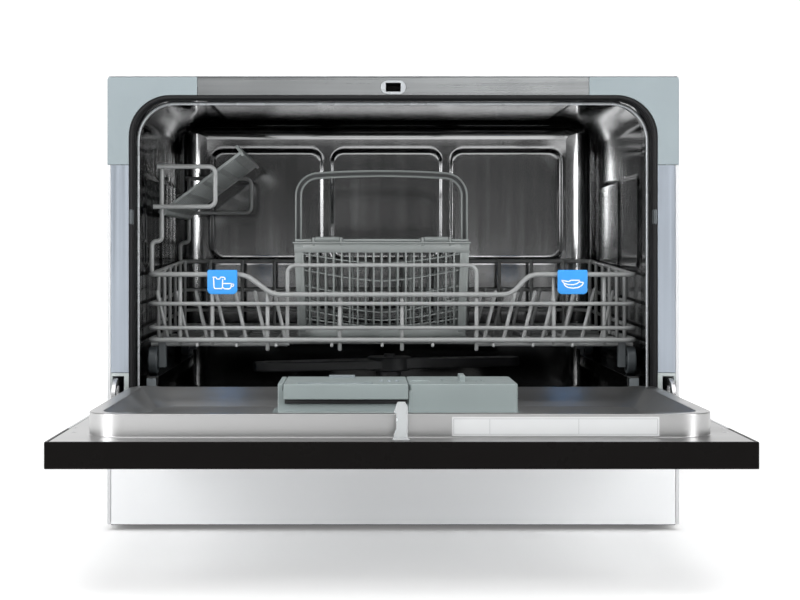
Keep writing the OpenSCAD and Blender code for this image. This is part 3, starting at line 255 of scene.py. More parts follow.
USE = {
    "white": ["top_panel", "left_side_panel", "right_side_panel", "door_outer_panel"],
    "plinth": ["plinth_panel"], "rear": ["rear_panel"], "rail": ["front_top_rail"], "post": ["side_posts"],
    "corner": ["frame_corners"], "cover": ["hinge_covers"], "tub": ["tub", "rack_rails"],
    "pan": ["door_inner_pan"], "filter": ["filter_plate"],
    "hinge": ["hinge_brackets", "hinge_springs", "hinge_arms"], "chrome": ["latch_bezel"],
    "rubber": ["door_gasket"], "port": ["softener_tank", "inlet_valve"],
    "dark": ["base_tray", "door_latch", "sump", "wash_pump", "drain_pump", "feet", "cord_gland"],
    "grey": ["rail_stops", "drain_spigot", "salt_cap", "filter_cup"],
    "clip": ["wheel_clips"], "deep": ["spray_arm"],
    "wheel": ["front_left_wheel", "front_right_wheel", "rear_left_wheel", "rear_right_wheel"],
    "basket": ["cup_shelf", "cutlery_basket", "front_lid", "rear_lid"],
    "dispenser": ["dispenser_base", "dispenser_lid", "rinse_cap"], "release": ["lid_release"],
    "black": ["control_panel"], "window": ["display_window"],
    "button": ["power_button", "programme_button", "start_button"], "board": ["control_board"],
    "hook": ["door_hook"],
    "wire": ["rack_floor", "rack_front", "rack_rear", "rack_sides", "rack_tines", "shelf_loops"],
    "tag": ["rack_tags"],
}
FINISH = {n: key for key, names in USE.items() for n in names}


# Turns a bmesh into a visible piece that rides a body. Edges under the angle are shaded smooth
def finish_mesh(bm, name, mat, body, slot, smooth=35):
    for f in bm.faces:
        f.smooth = True
    for e in bm.edges:
        if len(e.link_faces) == 2:
            e.smooth = e.calc_face_angle(0) < math.radians(smooth)
    mesh = bpy.data.meshes.new(name)
    bm.to_mesh(mesh)
    bm.free()
    mesh.materials.append(mat)
    ob = add_object(name, mesh)
    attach(ob, body)
    return ob


def finish_outward(bm, *args):
    bmesh.ops.recalc_face_normals(bm, faces=bm.faces)
    return finish_mesh(bm, *args)


def bevel_sharp(bm, width, segments, angle, clamp):
    limit = math.radians(angle)
    edges = [e for e in bm.edges if len(e.link_faces) == 2 and e.calc_face_angle(0) > limit]
    bmesh.ops.bevel(bm, geom=edges, offset=width, offset_type="OFFSET", segments=segments, profile=0.5,
                    affect="EDGES", clamp_overlap=clamp)


def bevel_all(bm, width, segments=2, angle=30):
    bmesh.ops.recalc_face_normals(bm, faces=bm.faces)
    bevel_sharp(bm, width, segments, angle, True)


SAME_POINT, FLAT_ANGLE, ROUNDED_SMOOTH, FLAT_WEIGHT = 1e-5, 0.4, 50, 80


# A copy of a CAD node that shows in the node's place, with rounded edges, or only smoothed at width 0
def soften(node, width, segments=2, angle=32, merge=True):
    bm = bmesh.new()
    bm.from_mesh(nodes[node].data)
    bmesh.ops.remove_doubles(bm, verts=bm.verts, dist=SAME_POINT)
    if width and merge:
        bmesh.ops.dissolve_limit(bm, angle_limit=math.radians(FLAT_ANGLE), verts=bm.verts, edges=bm.edges)
    if width:
        bevel_sharp(bm, width, segments, angle, False)
    ob = finish_mesh(bm, node + "_skin", M[FINISH[node]], BODY[node], SLOT[node],
                     ROUNDED_SMOOTH if width else angle)
    if width:
        mod = ob.modifiers.new("flat_faces", "WEIGHTED_NORMAL")
        mod.keep_sharp = True
        mod.weight = FLAT_WEIGHT
    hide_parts(node)


for n, o in nodes.items():
    o.data.materials.clear()
    o.data.materials.append(M[FINISH[n]])

# Width of each node's rounded edges
SOFT = {
    "top_panel": 0.0003, "left_side_panel": 0.0003, "right_side_panel": 0.0003, "plinth_panel": 0.0004,
    "front_top_rail": 0, "frame_corners": 0.0004, "side_posts": 0.0003, "hinge_covers": 0.0003,
    "latch_bezel": 0.0003, "rack_rails": 0.0004, "rail_stops": 0.0008, "spray_arm": 0.0015,
    "filter_cup": 0.0004, "salt_cap": 0.001, "door_outer_panel": 0.0004, "control_panel": 0.0007,
    "power_button": 0.0002, "programme_button": 0.0002, "start_button": 0.0002,
    "dispenser_lid": 0.0008, "lid_release": 0.0004, "rinse_cap": 0.0006,
    "door_hook": 0.0008, "hinge_arms": 0.0006, "hinge_brackets": 0.0004,
    "wheel_clips": 0.0008, "front_left_wheel": 0.0005, "front_right_wheel": 0.0005,
    "rear_left_wheel": 0.0005, "rear_right_wheel": 0.0005, "cup_shelf": 0.0005,
    "front_lid": 0.0004, "rear_lid": 0.0004, "rear_panel": 0.0004, "feet": 0.0008,
    "inlet_valve": 0.001, "drain_spigot": 0.0006, "cord_gland": 0.0008, "tub": 0,
}
for n, edge in SOFT.items():
    soften(n, edge)
soften("dispenser_base", 0.0008, merge=False)
soften("door_inner_pan", 0.0009, 3, 20)


# A square beam between two points. Its width lies along the side direction
def beam(bm, a, b, side, width, height):
    a, b, side = Vector(a), Vector(b), Vector(side).normalized()
    up = (b - a).cross(side).normalized()
    ring = [[bm.verts.new(p + side * sw * width / 2 + up * su * height / 2)
             for sw, su in ((-1, -1), (1, -1), (1, 1), (-1, 1))] for p in (a, b)]
    for k in range(4):
        bm.faces.new((ring[0][k], ring[0][(k + 1) % 4], ring[1][(k + 1) % 4], ring[1][k]))
    bm.faces.new(ring[0][::-1])
    bm.faces.new(ring[1])


def slab(bm, low, high):
    low, high = Vector(low), Vector(high)
    mid = (low + high) / 2
    beam(bm, (mid.x, mid.y, low.z), (mid.x, mid.y, high.z), (1, 0, 0), high.x - low.x, high.y - low.y)


# Joins rows of points by faces. Each row may close on itself
def bridge(bm, rows, closed=True):
    for a, b in zip(rows, rows[1:]):
        for k in range(len(a) if closed else len(a) - 1):
            n = (k + 1) % len(a)
            bm.faces.new((a[k], a[n], b[n], b[k]))


def cap_ends(bm, rows):
    bm.faces.new(rows[0][::-1])
    bm.faces.new(rows[-1])


# Sweeps a profile along a path in an upright plane. The profile's points are (inwards, backwards)
def sweep(bm, path, profile, closed=False):
    rings = []
    count = len(path)
    for i, p in enumerate(path):
        after = path[(i + 1) % count] if (closed or i + 1 < count) else p
        before = path[i - 1] if (closed or i) else p
        along = (after - before).normalized()
        side = Vector((along.z, 0, -along.x)).normalized()
        rings.append([bm.verts.new(p + side * u + Vector((0, 1, 0)) * v) for u, v in profile])
    bridge(bm, rings + rings[:1] if closed else rings)
    if not closed:
        cap_ends(bm, rings)


def arc(cx, cz, r, start, end, steps):
    angles = [math.radians(start + (end - start) * k / steps) for k in range(steps + 1)]
    return [(cx + r * math.cos(a), cz + r * math.sin(a)) for a in angles]


# A loop around the door opening: half its width, bottom, top, radius of its upper and lower corners
def opening_path(y, half, low, top, top_r, low_r):
    points = arc(-half + top_r, top - top_r, top_r, 180, 90, 14)
    points += arc(half - top_r, top - top_r, top_r, 90, 0, 14)
    points += arc(half - low_r, low + low_r, low_r, 0, -90, 5)
    points += arc(-half + low_r, low + low_r, low_r, 270, 180, 5)
    return [Vector((x, y, z)) for x, z in points]


# Rubber door gasket: one lipped profile in millimetres, swept around the opening
GASKET_PROFILE = [
    (0, 0.3), (2.4, 0.3), (3.1, 0.9), (3.3, 2.2), (3.1, 4.4), (2.4, 5.2), (1.7, 5.8), (1.5, 6.6), (1.8, 7.4),
    (2.9, 8.1), (3.6, 9.2), (3.8, 10.8), (3.4, 12.3), (3.0, 13.8), (3.2, 15.4), (3.7, 16.8), (3.8, 19.2),
    (3.4, 21.2), (2.8, 22.6), (1.8, 23.3), (0, 23.4)]
GASKET_LOOP, GASKET_Y = (0.2544, 0.1232, 0.4189, 0.0400, 0.0080), FRONT + 0.0021
REST_X, REST_HALF, REST_LOW, REST_TOP, REST_EDGE = 0.2524, 0.0018, 0.2945, 0.3090, 0.0014
REST_FRONT, REST_BACK = FRONT + 0.0006, FRONT + 0.0105
bm = bmesh.new()
sweep(bm, opening_path(GASKET_Y, *GASKET_LOOP), [(u / 1000, v / 1000) for u, v in GASKET_PROFILE], True)
gasket = finish_outward(bm, "gasket_lips", M["rubber"], "cabinet", "gasket_rubber", 60)
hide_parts("door_gasket")

bm = bmesh.new()
for side in (-1, 1):
    x = side * REST_X
    slab(bm, (x - REST_HALF, REST_FRONT, REST_LOW), (x + REST_HALF, REST_BACK, REST_TOP))
bevel_all(bm, REST_EDGE, 4)
finish_mesh(bm, "gasket_side_rests", M["wheel"], "cabinet", "grey_plastic", 60)

# Cutlery basket: framed walls that flare upwards, with bars and curved ribs
BX, BY, BASKET_DEPTH = -0.010, FRONT + 0.0755, 0.074
BASKET_HALF, FLARE, SKIN = 0.0845, 0.004, 0.001
BAR_WIDTH, BAR_DEPTH, FRAME_DEPTH = 0.0019, 0.0020, 0.0021
RIB_HEIGHT, RIB_DEPTH, RIB_SUNK, RIB_END, RIB_STEPS = 0.0016, 0.0013, 0.0006, 0.004, 14
BAR_PITCH, BARS_EACH_WAY, SIDE_PITCH, SIDE_EACH_WAY = 0.0081, 10, 0.0083, 3
CORNER_WIDTH, SIDE_CORNER_WIDTH, SIDE_CORNERS, SIDE_LEAN = 0.0085, 0.009, (0.0045, 0.0695), 0.0035
CORNER_FOOT, CORNER_HEAD, OVERLAP, TOP_GAP, BAND_GAP = 0.0038, 0.0050, 0.001, 0.0005, 0.0006
# Each curved rib: the height of its ends over the basket's bottom, and its sag
FRONT_RIBS = ((0.0839, 0.0101), (0.0677, 0.0114), (0.0516, 0.0115), (0.0381, 0.0135), (0.0273, 0.0108),
              (0.0185, 0.0085))
SIDE_RIBS = (0.0717, 0.0577, 0.0437, 0.0307, 0.0197)
b_low, b_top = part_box("front_left_wheel")[1].z + 0.0088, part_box("front_lid")[0].z - 0.0004
win_low, win_top = b_low + 0.0095, b_top - 0.0110


def flare(z):
    return FLARE * (z - b_low) / (b_top - b_low)


def half_x(z):
    return BASKET_HALF + flare(z)


def inset(z):
    return FLARE - flare(z)


def wall_y(z, rear):
    edge = inset(z) + SKIN
    return BY + (BASKET_DEPTH - edge if rear else edge)


def wall_x(z, side):
    return BX + side * (half_x(z) - SKIN)


bm = bmesh.new()
bands = [((z0 + z1) / 2, z1 - z0) for z0, z1 in ((b_low, win_low), (win_top, b_top))]
for rear in (False, True):
    for z, height in bands:
        end = half_x(z) - BAND_GAP
        beam(bm, (BX - end, wall_y(z, rear), z), (BX + end, wall_y(z, rear), z),
             (0, 1, 0), FRAME_DEPTH, height)
    for k in range(-BARS_EACH_WAY, BARS_EACH_WAY + 1):
        x = BX + k * BAR_PITCH
        if abs(k) < BARS_EACH_WAY:
            beam(bm, (x, wall_y(win_low, rear), win_low - OVERLAP),
                 (x, wall_y(win_top, rear), win_top + OVERLAP), (1, 0, 0), BAR_WIDTH, BAR_DEPTH)
            continue
        beam(bm, (x, wall_y(b_low, rear), b_low + OVERLAP), (x, wall_y(b_top, rear), b_top - OVERLAP),
             (1, 0, 0), BAR_WIDTH, BAR_DEPTH)
        foot, head = [math.copysign(half_x(z) - corner, k)
                      for z, corner in ((b_low, CORNER_FOOT), (b_top, CORNER_HEAD))]
        beam(bm, (BX + foot, wall_y(b_low, rear), b_low), (BX + head, wall_y(b_top, rear), b_top - TOP_GAP),
             (1, 0, 0), CORNER_WIDTH, FRAME_DEPTH)
    for height, sag in FRONT_RIBS:
        points = []
        for k in range(RIB_STEPS + 1):
            t = -1 + 2 * k / RIB_STEPS
            z = b_low + height - sag * (1 - abs(t) ** 1.5)
            y = wall_y(z, rear) + (-RIB_SUNK if rear else RIB_SUNK)
            points.append((BX + t * (half_x(z) - CORNER_WIDTH), y, z))
        for a, b in zip(points, points[1:]):
            beam(bm, a, b, (0, 1, 0), RIB_HEIGHT, RIB_DEPTH)
for side in (-1, 1):
    for z, height in bands:
        beam(bm, (wall_x(z, side), BY + inset(z), z), (wall_x(z, side), BY + BASKET_DEPTH - inset(z), z),
             (1, 0, 0), FRAME_DEPTH, height)
    for k in range(-SIDE_EACH_WAY, SIDE_EACH_WAY + 1):
        y = BY + BASKET_DEPTH / 2 + k * SIDE_PITCH
        beam(bm, (wall_x(win_low, side), y, win_low - OVERLAP), (wall_x(win_top, side), y, win_top + OVERLAP),
             (0, 1, 0), BAR_WIDTH, BAR_DEPTH)
    for y, lean in zip(SIDE_CORNERS, (SIDE_LEAN, -SIDE_LEAN)):
        beam(bm, (wall_x(b_low, side), BY + y + lean, b_low), (wall_x(b_top, side), BY + y, b_top - TOP_GAP),
             (0, 1, 0), SIDE_CORNER_WIDTH, FRAME_DEPTH)
    for height in SIDE_RIBS:
        z = b_low + height
        front, rear = BY + inset(z) + RIB_END, BY + BASKET_DEPTH - inset(z) - RIB_END
        beam(bm, (wall_x(z, side), front, z), (wall_x(z, side), rear, z), (1, 0, 0), RIB_HEIGHT, RIB_DEPTH)

# The basket's rim
RIM_HALF, RIM_HEIGHT, RIM_DEPTH, RIM_OUT = 0.0895, 0.0018, 0.0026, 0.0002
SIDE_RIM_X, SIDE_RIM_DEPTH, SIDE_RIM_OUT = 0.0888, 0.0022, 0.001
z = b_top - RIM_HEIGHT / 2
for y in (BY - RIM_OUT, BY + BASKET_DEPTH + RIM_OUT):
    beam(bm, (BX - RIM_HALF, y, z), (BX + RIM_HALF, y, z), (0, 1, 0), RIM_DEPTH, RIM_HEIGHT)
for x in (BX - SIDE_RIM_X, BX + SIDE_RIM_X):
    beam(bm, (x, BY - SIDE_RIM_OUT, z), (x, BY + BASKET_DEPTH + SIDE_RIM_OUT, z),
         (1, 0, 0), SIDE_RIM_DEPTH, RIM_HEIGHT)

# The basket's floor: slats from front to rear on cross bars
SLAT_PITCH, SLATS_EACH_WAY, SLAT_END = 0.0086, 9, 0.005
SLAT_WIDTH, SLAT_HEIGHT, SLAT_MIDDLE = 0.0034, 0.0022, 0.0012
BED_BARS = (0.0075, 0.026, 0.037, 0.048, 0.0665)
BED_HALF, BED_WIDTH, BED_HEIGHT, BED_MIDDLE = 0.0835, 0.0044, 0.0024, 0.0013
z = b_low + SLAT_MIDDLE
for k in range(-SLATS_EACH_WAY, SLATS_EACH_WAY + 1):
    x = BX + k * SLAT_PITCH
    beam(bm, (x, BY + SLAT_END, z), (x, BY + BASKET_DEPTH - SLAT_END, z), (1, 0, 0), SLAT_WIDTH, SLAT_HEIGHT)
z = b_low + BED_MIDDLE
for y in BED_BARS:
    beam(bm, (BX - BED_HALF, BY + y, z), (BX + BED_HALF, BY + y, z), (0, 1, 0), BED_WIDTH, BED_HEIGHT)

# Two dividers, each a row of posts crossed by rails
DIVIDER_X, DIVIDER_END, POSTS, POST_START, POST_PITCH = 0.0295, 0.004, 7, 0.0065, 0.01015
POST_WIDTH, POST_DEPTH, POST_LOW, POST_TOP = 0.0022, 0.0016, b_low + 0.002, b_top - 0.013
RAILS, RAIL_WIDTH, RAIL_HEIGHT = (0.004, 0.030, 0.056, 0.0825), 0.0016, 0.0024
for x in (BX - DIVIDER_X, BX + DIVIDER_X):
    for k in range(POSTS):
        y = BY + POST_START + k * POST_PITCH
        beam(bm, (x, y, POST_LOW), (x, y, POST_TOP), (0, 1, 0), POST_WIDTH, POST_DEPTH)
    for z in RAILS:
        beam(bm, (x, BY + DIVIDER_END, b_low + z), (x, BY + BASKET_DEPTH - DIVIDER_END, b_low + z),
             (1, 0, 0), RAIL_WIDTH, RAIL_HEIGHT)

# Hinge ears for the two lids
EAR_X, EAR_SPREAD, EAR_THICK, EAR_HALF = 0.055, 0.014, 0.0012, 0.0018
EAR_IN, EAR_LOW, EAR_TOP, BASKET_EDGE = 0.0015, b_top - 0.004, b_top + 0.0044, 0.00028
for y in (BY + EAR_IN, BY + BASKET_DEPTH - EAR_IN):
    for hinge in (-EAR_X, EAR_X):
        for side in (-1, 1):
            x = BX + hinge + side * EAR_SPREAD
            slab(bm, (x - EAR_THICK, y - EAR_HALF, EAR_LOW), (x + EAR_THICK, y + EAR_HALF, EAR_TOP))
bevel_all(bm, BASKET_EDGE, 1, 40)
basket = finish_mesh(bm, "basket_walls", M["basket"], "cutlery_basket", "basket_plastic", 60)
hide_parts("cutlery_basket")

# The basket's arched handle, a channel section in millimetres, with painted shade in its groove
HANDLE_HALF, HANDLE_R, CROWN_RISE, CROWN_STEPS = 0.0889, 0.024, 0.0022, 14
HANDLE_LOW, HANDLE_BEND, CROWN_START = b_top - 0.012, b_top + 0.02, 0.004
HANDLE_PROFILE = [(0, -3), (1.4, -3), (1.7, -0.8), (5.3, -0.8), (5.6, -3), (7.0, -3),
                  (7.0, 3), (5.6, 3), (5.3, 0.8), (1.7, 0.8), (1.4, 3), (0, 3)]
GROOVE_LOW, GROOVE_HIGH, GROOVE_HALF = 0.0020, 0.0050, 0.0011
h_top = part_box("cutlery_basket")[1].z
flat_half = HANDLE_HALF - HANDLE_R
crown_half = flat_half - CROWN_START
left = [(-HANDLE_HALF, HANDLE_LOW), (-HANDLE_HALF, HANDLE_BEND)]
left += arc(-flat_half, h_top - CROWN_RISE - HANDLE_R, HANDLE_R, 180, 97, 8)
crown_x = [-crown_half + k * 2 * crown_half / CROWN_STEPS for k in range(CROWN_STEPS + 1)]
crown = [(x, h_top - CROWN_RISE * (abs(x) / flat_half) ** 2) for x in crown_x]
right = [(-x, z) for x, z in left[::-1]]
path = [Vector((BX + x, BY + BASKET_DEPTH / 2, z)) for x, z in left + crown + right]
bm = bmesh.new()
sweep(bm, path, [(u / 1000, v / 1000) for u, v in HANDLE_PROFILE])
bevel_all(bm, 0.0004, 2, 25)
finish_mesh(bm, "basket_handle", M["basket"], "cutlery_basket", "basket_plastic", 55)
# A near-black strip swept inside the channel: painted shade in the groove
bm = bmesh.new()
sweep(bm, path, [(GROOVE_LOW, -GROOVE_HALF), (GROOVE_HIGH, -GROOVE_HALF), (GROOVE_HIGH, GROOVE_HALF),
                 (GROOVE_LOW, GROOVE_HALF)])
finish_outward(bm, "basket_handle_groove_shade", M["deep"], "cutlery_basket", "basket_plastic", 55)


# A path through points, with a curve of the given reach at each inner point
def rounded_path(points, reaches, steps=8):
    points = [Vector(p) for p in points]
    out = [points[0]]
    for a, p, b, reach in zip(points, points[1:], points[2:], reaches):
        t = min(reach, (a - p).length * 0.48, (b - p).length * 0.48)
        p0, p1 = p + (a - p).normalized() * t, p + (b - p).normalized() * t
        for k in range(steps + 1):
            u = k / steps
            out.append(p0 * (1 - u) ** 2 + p * 2 * u * (1 - u) + p1 * u ** 2)
    return out + [points[-1]]


# A round wire along a path, with rounded ends
def tube(bm, path, r, sides=10):
    reach, tip = r * 0.45, 0.55
    path = [Vector(p) for p in path]
    first, last = (path[1] - path[0]).normalized(), (path[-1] - path[-2]).normalized()
    stops = [(path[0] - first * reach, tip)] + [(p, 1) for p in path] + [(path[-1] + last * reach, tip)]
    side = first.orthogonal().normalized()
    angles = [2 * math.pi * k / sides for k in range(sides)]
    rings = []
    for i, (p, size) in enumerate(stops):
        a, b = stops[max(i - 1, 0)][0], stops[min(i + 1, len(stops) - 1)][0]
        along = (b - a).normalized()
        side = (side - along * side.dot(along)).normalized()
        up = along.cross(side)
        rings.append([bm.verts.new(p + (side * math.cos(w) + up * math.sin(w)) * r * size) for w in angles])
    bridge(bm, rings)
    cap_ends(bm, rings)


# Coated wires of the rack's front: the rim with its slanted dip, low wires, upright pegs, bent wire ends
RIM, WIRE, CORNER, DIP_BEND, DIP_DEPTH = 0.0025, 0.0020, 0.0215, 0.009, 0.020
DIP_X = (-0.1455, -0.1185, 0.1175, 0.1360)
LOW_WIRES = ((0, RIM), (0.012, WIRE), (0.036, WIRE))
PEG_SINK, PEG_RISE, PEG_BELOW_DIP, PEG_BELOW_RIM = 0.0006, 0.0008, 0.0100, 0.0040
DIP_PEGS = (-0.1237, -0.0521, 0.0097, 0.0836)
END_WIRE, END_BEND = 0.0016, 0.002
WIRE_ENDS = (-0.19325, -0.15425, -0.11525, -0.060, -0.010, 0.040, 0.10025, 0.13925, 0.17825)
rim_lo, rim_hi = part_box("rack_front")
rim_x, rim_y = rim_hi.x - RIM, rim_lo.y + RIM
rim_top, rim_back = rim_hi.z - RIM, rim_hi.y
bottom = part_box("rack_sides")[0].z + RIM
dip = rim_top - DIP_DEPTH
RIM_PEGS = (-rim_x + 0.030, -rim_x + 0.062, 0.1603, rim_x - 0.030)
bm = bmesh.new()
rim = [(-rim_x, rim_back, rim_top), (-rim_x, rim_y, rim_top)]
rim += [(x, rim_y, z) for x, z in zip(DIP_X, (rim_top, dip, dip, rim_top))]
rim += [(rim_x, rim_y, rim_top), (rim_x, rim_back, rim_top)]
tube(bm, rounded_path(rim, [CORNER] + [DIP_BEND] * 4 + [CORNER]), RIM, 12)
for height, r in LOW_WIRES:
    z = bottom + height
    around = [(-rim_x, rim_back, z), (-rim_x, rim_y, z), (rim_x, rim_y, z), (rim_x, rim_back, z)]
    tube(bm, rounded_path(around, [CORNER] * 2), r, 12)
peg_y = rim_y + RIM + WIRE - PEG_SINK
for pegs, below, top in ((DIP_PEGS, PEG_BELOW_DIP, dip), (RIM_PEGS, PEG_BELOW_RIM, rim_top)):
    for x in pegs:
        tube(bm, [(x, peg_y, bottom - below), (x, peg_y, top + PEG_RISE)], WIRE)
for x in WIRE_ENDS:
    hook = [(x, peg_y + 0.007, bottom - 0.0034), (x, rim_y, bottom - 0.0040),
            (x, rim_y - 0.0004, bottom - 0.0062)]
    tube(bm, rounded_path(hook, [END_BEND], 3), END_WIRE, 8)
rack_wires = finish_outward(bm, "rack_front_wires", M["wire"], "rack", "wire_coating", 60)
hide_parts("rack_front")

# The two clip-on tags, each a plate with rounded corners hooked over the rim
TAGS, TAG_HALF, TAG_LOW_R, TAG_TOP_R = (-0.168, 0.178), 0.0148, 0.0045, 0.0015
TAG_THICK, TAG_EDGE = 0.0018, 0.001
tag_lo, tag_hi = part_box("rack_tags")
bm = bmesh.new()
for x in TAGS:
    low_x, low_z = TAG_HALF - TAG_LOW_R, tag_lo.z + TAG_LOW_R
    top_x, top_z = TAG_HALF - TAG_TOP_R, tag_hi.z - TAG_TOP_R
    outline = arc(x - low_x, low_z, TAG_LOW_R, 180, 270, 8) + arc(x + low_x, low_z, TAG_LOW_R, 270, 360, 8)
    outline += arc(x + top_x, top_z, TAG_TOP_R, 0, 90, 4) + arc(x - top_x, top_z, TAG_TOP_R, 90, 180, 4)
    rows = [[bm.verts.new((px, tag_lo.y + d, pz)) for px, pz in outline] for d in (0, TAG_THICK)]
    bridge(bm, rows)
    cap_ends(bm, rows)
    inner = TAG_HALF - TAG_EDGE
    slab(bm, (x - inner, tag_lo.y + 0.0010, tag_hi.z - 0.0020), (x + inner, tag_hi.y, tag_hi.z - 0.0001))
    slab(bm, (x - inner, tag_hi.y - 0.0016, tag_hi.z - 0.0070), (x + inner, tag_hi.y, tag_hi.z - 0.0010))
bevel_all(bm, 0.0004, 2, 50)
tags = finish_mesh(bm, "tag_plates", M["tag"], "rack", "tag_blue", 45)
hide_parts("rack_tags")


# Line drawings raised a little from a face. The place function turns a drawing's point into a point in space
def strokes(name, lines, place, normal, relief, width, mat, body):
    g = bmesh.new()
    for line in lines:
        for a, b in zip(line, line[1:]):
            beam(g, place(*a), place(*b), normal, relief, width)
    return finish_outward(g, name, mat, body, "port_plastic")


# Pictograms on the two rack tags, in millimetres
MARK_HEIGHT, MARK_WIDTH, MARK_OUT, MARK_RELIEF = 0.0112, 0.0011, 0.00012, 0.0003
CUP = [[(-8.6, 5.6), (-8.2, -4.2), (-7.4, -5.6), (-0.6, -5.6), (0.2, -4.2), (0.4, 3.6)],
       [(-9.6, 5.6), (-6.2, 5.6), (-5.4, 3.8), (-2.6, 3.8), (-1.8, 5.6), (1.6, 5.6), (2.6, 4.6), (2.6, 2.8)],
       [(0.4, -0.6), (9.2, -0.6), (8.6, -4.4), (7.2, -5.8), (2.2, -5.8), (0.4, -4.4)],
       [(9.2, -1.2), (11.2, -1.2), (11.0, -3.4), (8.8, -3.6)]]
PLATES = [[(-11, 2.6), (-8.6, -0.2), (-4.6, -1.6), (0.4, -1.8), (4.4, -0.8), (6.6, 1.4), (6.8, 2.6),
           (-1.6, 2.6), (-4.0, 1.2), (-11, 2.6)],
          [(6.6, 0.8), (10.8, 0.4), (9.0, -2.6), (5.2, -4.6), (0.4, -5.2), (-4.4, -4.6), (-7.4, -2.8),
           (-8.6, -0.4)]]
for name, mark_x, lines in (("cup_mark", TAGS[0], CUP), ("plate_mark", TAGS[1], PLATES)):
    def on_tag(u, v, x=mark_x):
        return x + u / 1000, tag_lo.y - MARK_OUT, tag_lo.z + MARK_HEIGHT + v / 1000
    strokes(name, lines, on_tag, (0, 1, 0), MARK_RELIEF, MARK_WIDTH, M["ink"], "rack")


def face_marks(name, cx, cy, z, lines, mat, width, unit):
    def on_face(u, v):
        return cx + u * unit, cy - v * unit, z
    return strokes(name, lines, on_face, (0, 0, 1), 0.0002, width, mat, "door")


# Display digits and plain symbols by the buttons, on the door's outer face
SEGMENTS = {"a": ((0, 10), (5, 10)), "b": ((5, 10), (5, 5)), "c": ((5, 5), (5, 0)), "d": ((0, 0), (5, 0)),
            "e": ((0, 5), (0, 0)), "f": ((0, 10), (0, 5)), "g": ((0, 5), (5, 5))}
DIGITS = ((-13, "bc"), (-2.5, "abged"), (6, "afgcd"))
COLON = [[(-5, -2.4), (-5, -1.4)], [(-5, 1.4), (-5, 2.4)]]
POWER_RING = [(3 * math.sin(math.radians(a)), 3 * math.cos(math.radians(a))) for a in range(40, 325, 15)]
SYMBOLS = {"power_button": [POWER_RING, [(0, 0.4), (0, 3.6)]],
           "programme_button": [[(-3, 2), (3, 2)], [(-3, 0), (3, 0)], [(-3, -2), (1, -2)]],
           "start_button": [[(-2.4, 2.6), (-2.4, -2.6), (0.8, 0), (-2.4, 2.6)], [(2.4, 2.6), (2.4, -2.6)]]}
SYMBOL_GAP = 0.0065
win_lo, win_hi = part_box("display_window")
digits = [[(x + shift, y - 5) for x, y in SEGMENTS[k]] for shift, shown in DIGITS for k in shown]
face_marks("display_digits", (win_lo.x + win_hi.x) / 2, (win_lo.y + win_hi.y) / 2, win_lo.z, digits + COLON,
           M["glow"], 0.0009, 0.001)
for n, lines in SYMBOLS.items():
    lo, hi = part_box(n)
    face_marks(n + "_symbol", (lo.x + hi.x) / 2, lo.y - SYMBOL_GAP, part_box("control_panel")[0].z, lines,
               M["label"], 0.0006, 0.0008)


# Raised marks and screws start this far inside the face they stand on
SUNK = 0.0002


# A low round button with a domed top
def disc(bm, x, y, z, r, height):
    angles = [math.pi * k / 9 for k in range(18)]
    steps = ((r, -SUNK), (r, height * 0.6), (r * 0.8, height), (r * 0.35, height * 1.05))
    rows = [[bm.verts.new((x + q * math.cos(a), y + q * math.sin(a), z + up)) for a in angles]
            for q, up in steps]
    bridge(bm, rows)
    bm.faces.new(rows[-1])
    bm.faces.new(rows[0][::-1])


# Raised marks and seams on the detergent dispenser, and a dark slab of painted shade under its lid
LID_DOTS = (-0.0136, -0.0069, -0.0002)
BASE_MARKS = ((0.0116, 0.0275, 0.034), (0.0116, 0.0275, 0.040), (0.0680, 0.0692, 0.036),
              (0.0747, 0.0759, 0.036), (0.0116, 0.0240, 0.046))
LID_LINE, BASE_LINE = 0.0012, 0.0024
lid_lo, lid_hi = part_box("dispenser_lid")
base_lo, base_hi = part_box("dispenser_base")
bm = bmesh.new()
for x in LID_DOTS:
    disc(bm, x, lid_lo.y + 0.030, lid_hi.z, 0.0020, 0.0009)
    disc(bm, x, lid_lo.y + 0.040, lid_hi.z, 0.0014, 0.0008)
for y in (lid_lo.y + 0.004, lid_lo.y + 0.012):
    slab(bm, (lid_lo.x + 0.012, y, lid_hi.z - SUNK), (lid_hi.x - 0.030, y + LID_LINE, lid_hi.z + 0.0004))
finish_mesh(bm, "lid_marks", M["release"], BODY["dispenser_lid"], "dispenser_plastic", 50)
bm = bmesh.new()
for x0, x1, y in BASE_MARKS:
    slab(bm, (x0, base_lo.y + y, base_hi.z - SUNK), (x1, base_lo.y + y + BASE_LINE, base_hi.z + 0.0005))
bevel_all(bm, 0.0002, 1)
finish_mesh(bm, "dispenser_marks", M["dispenser"], "door", "dispenser_plastic", 50)
# A dark slab in the gap under the lid's front: painted shade
bm = bmesh.new()
slab(bm, (lid_lo.x + 0.001, base_lo.y + 0.0078, lid_hi.z - 0.0168),
     (lid_hi.x - 0.001, base_lo.y + 0.0112, lid_hi.z - 0.0134))
bevel_all(bm, 0.0002, 1)
finish_mesh(bm, "lid_gap_painted_shade", M["rubber"], "door", "gasket_rubber", 50)

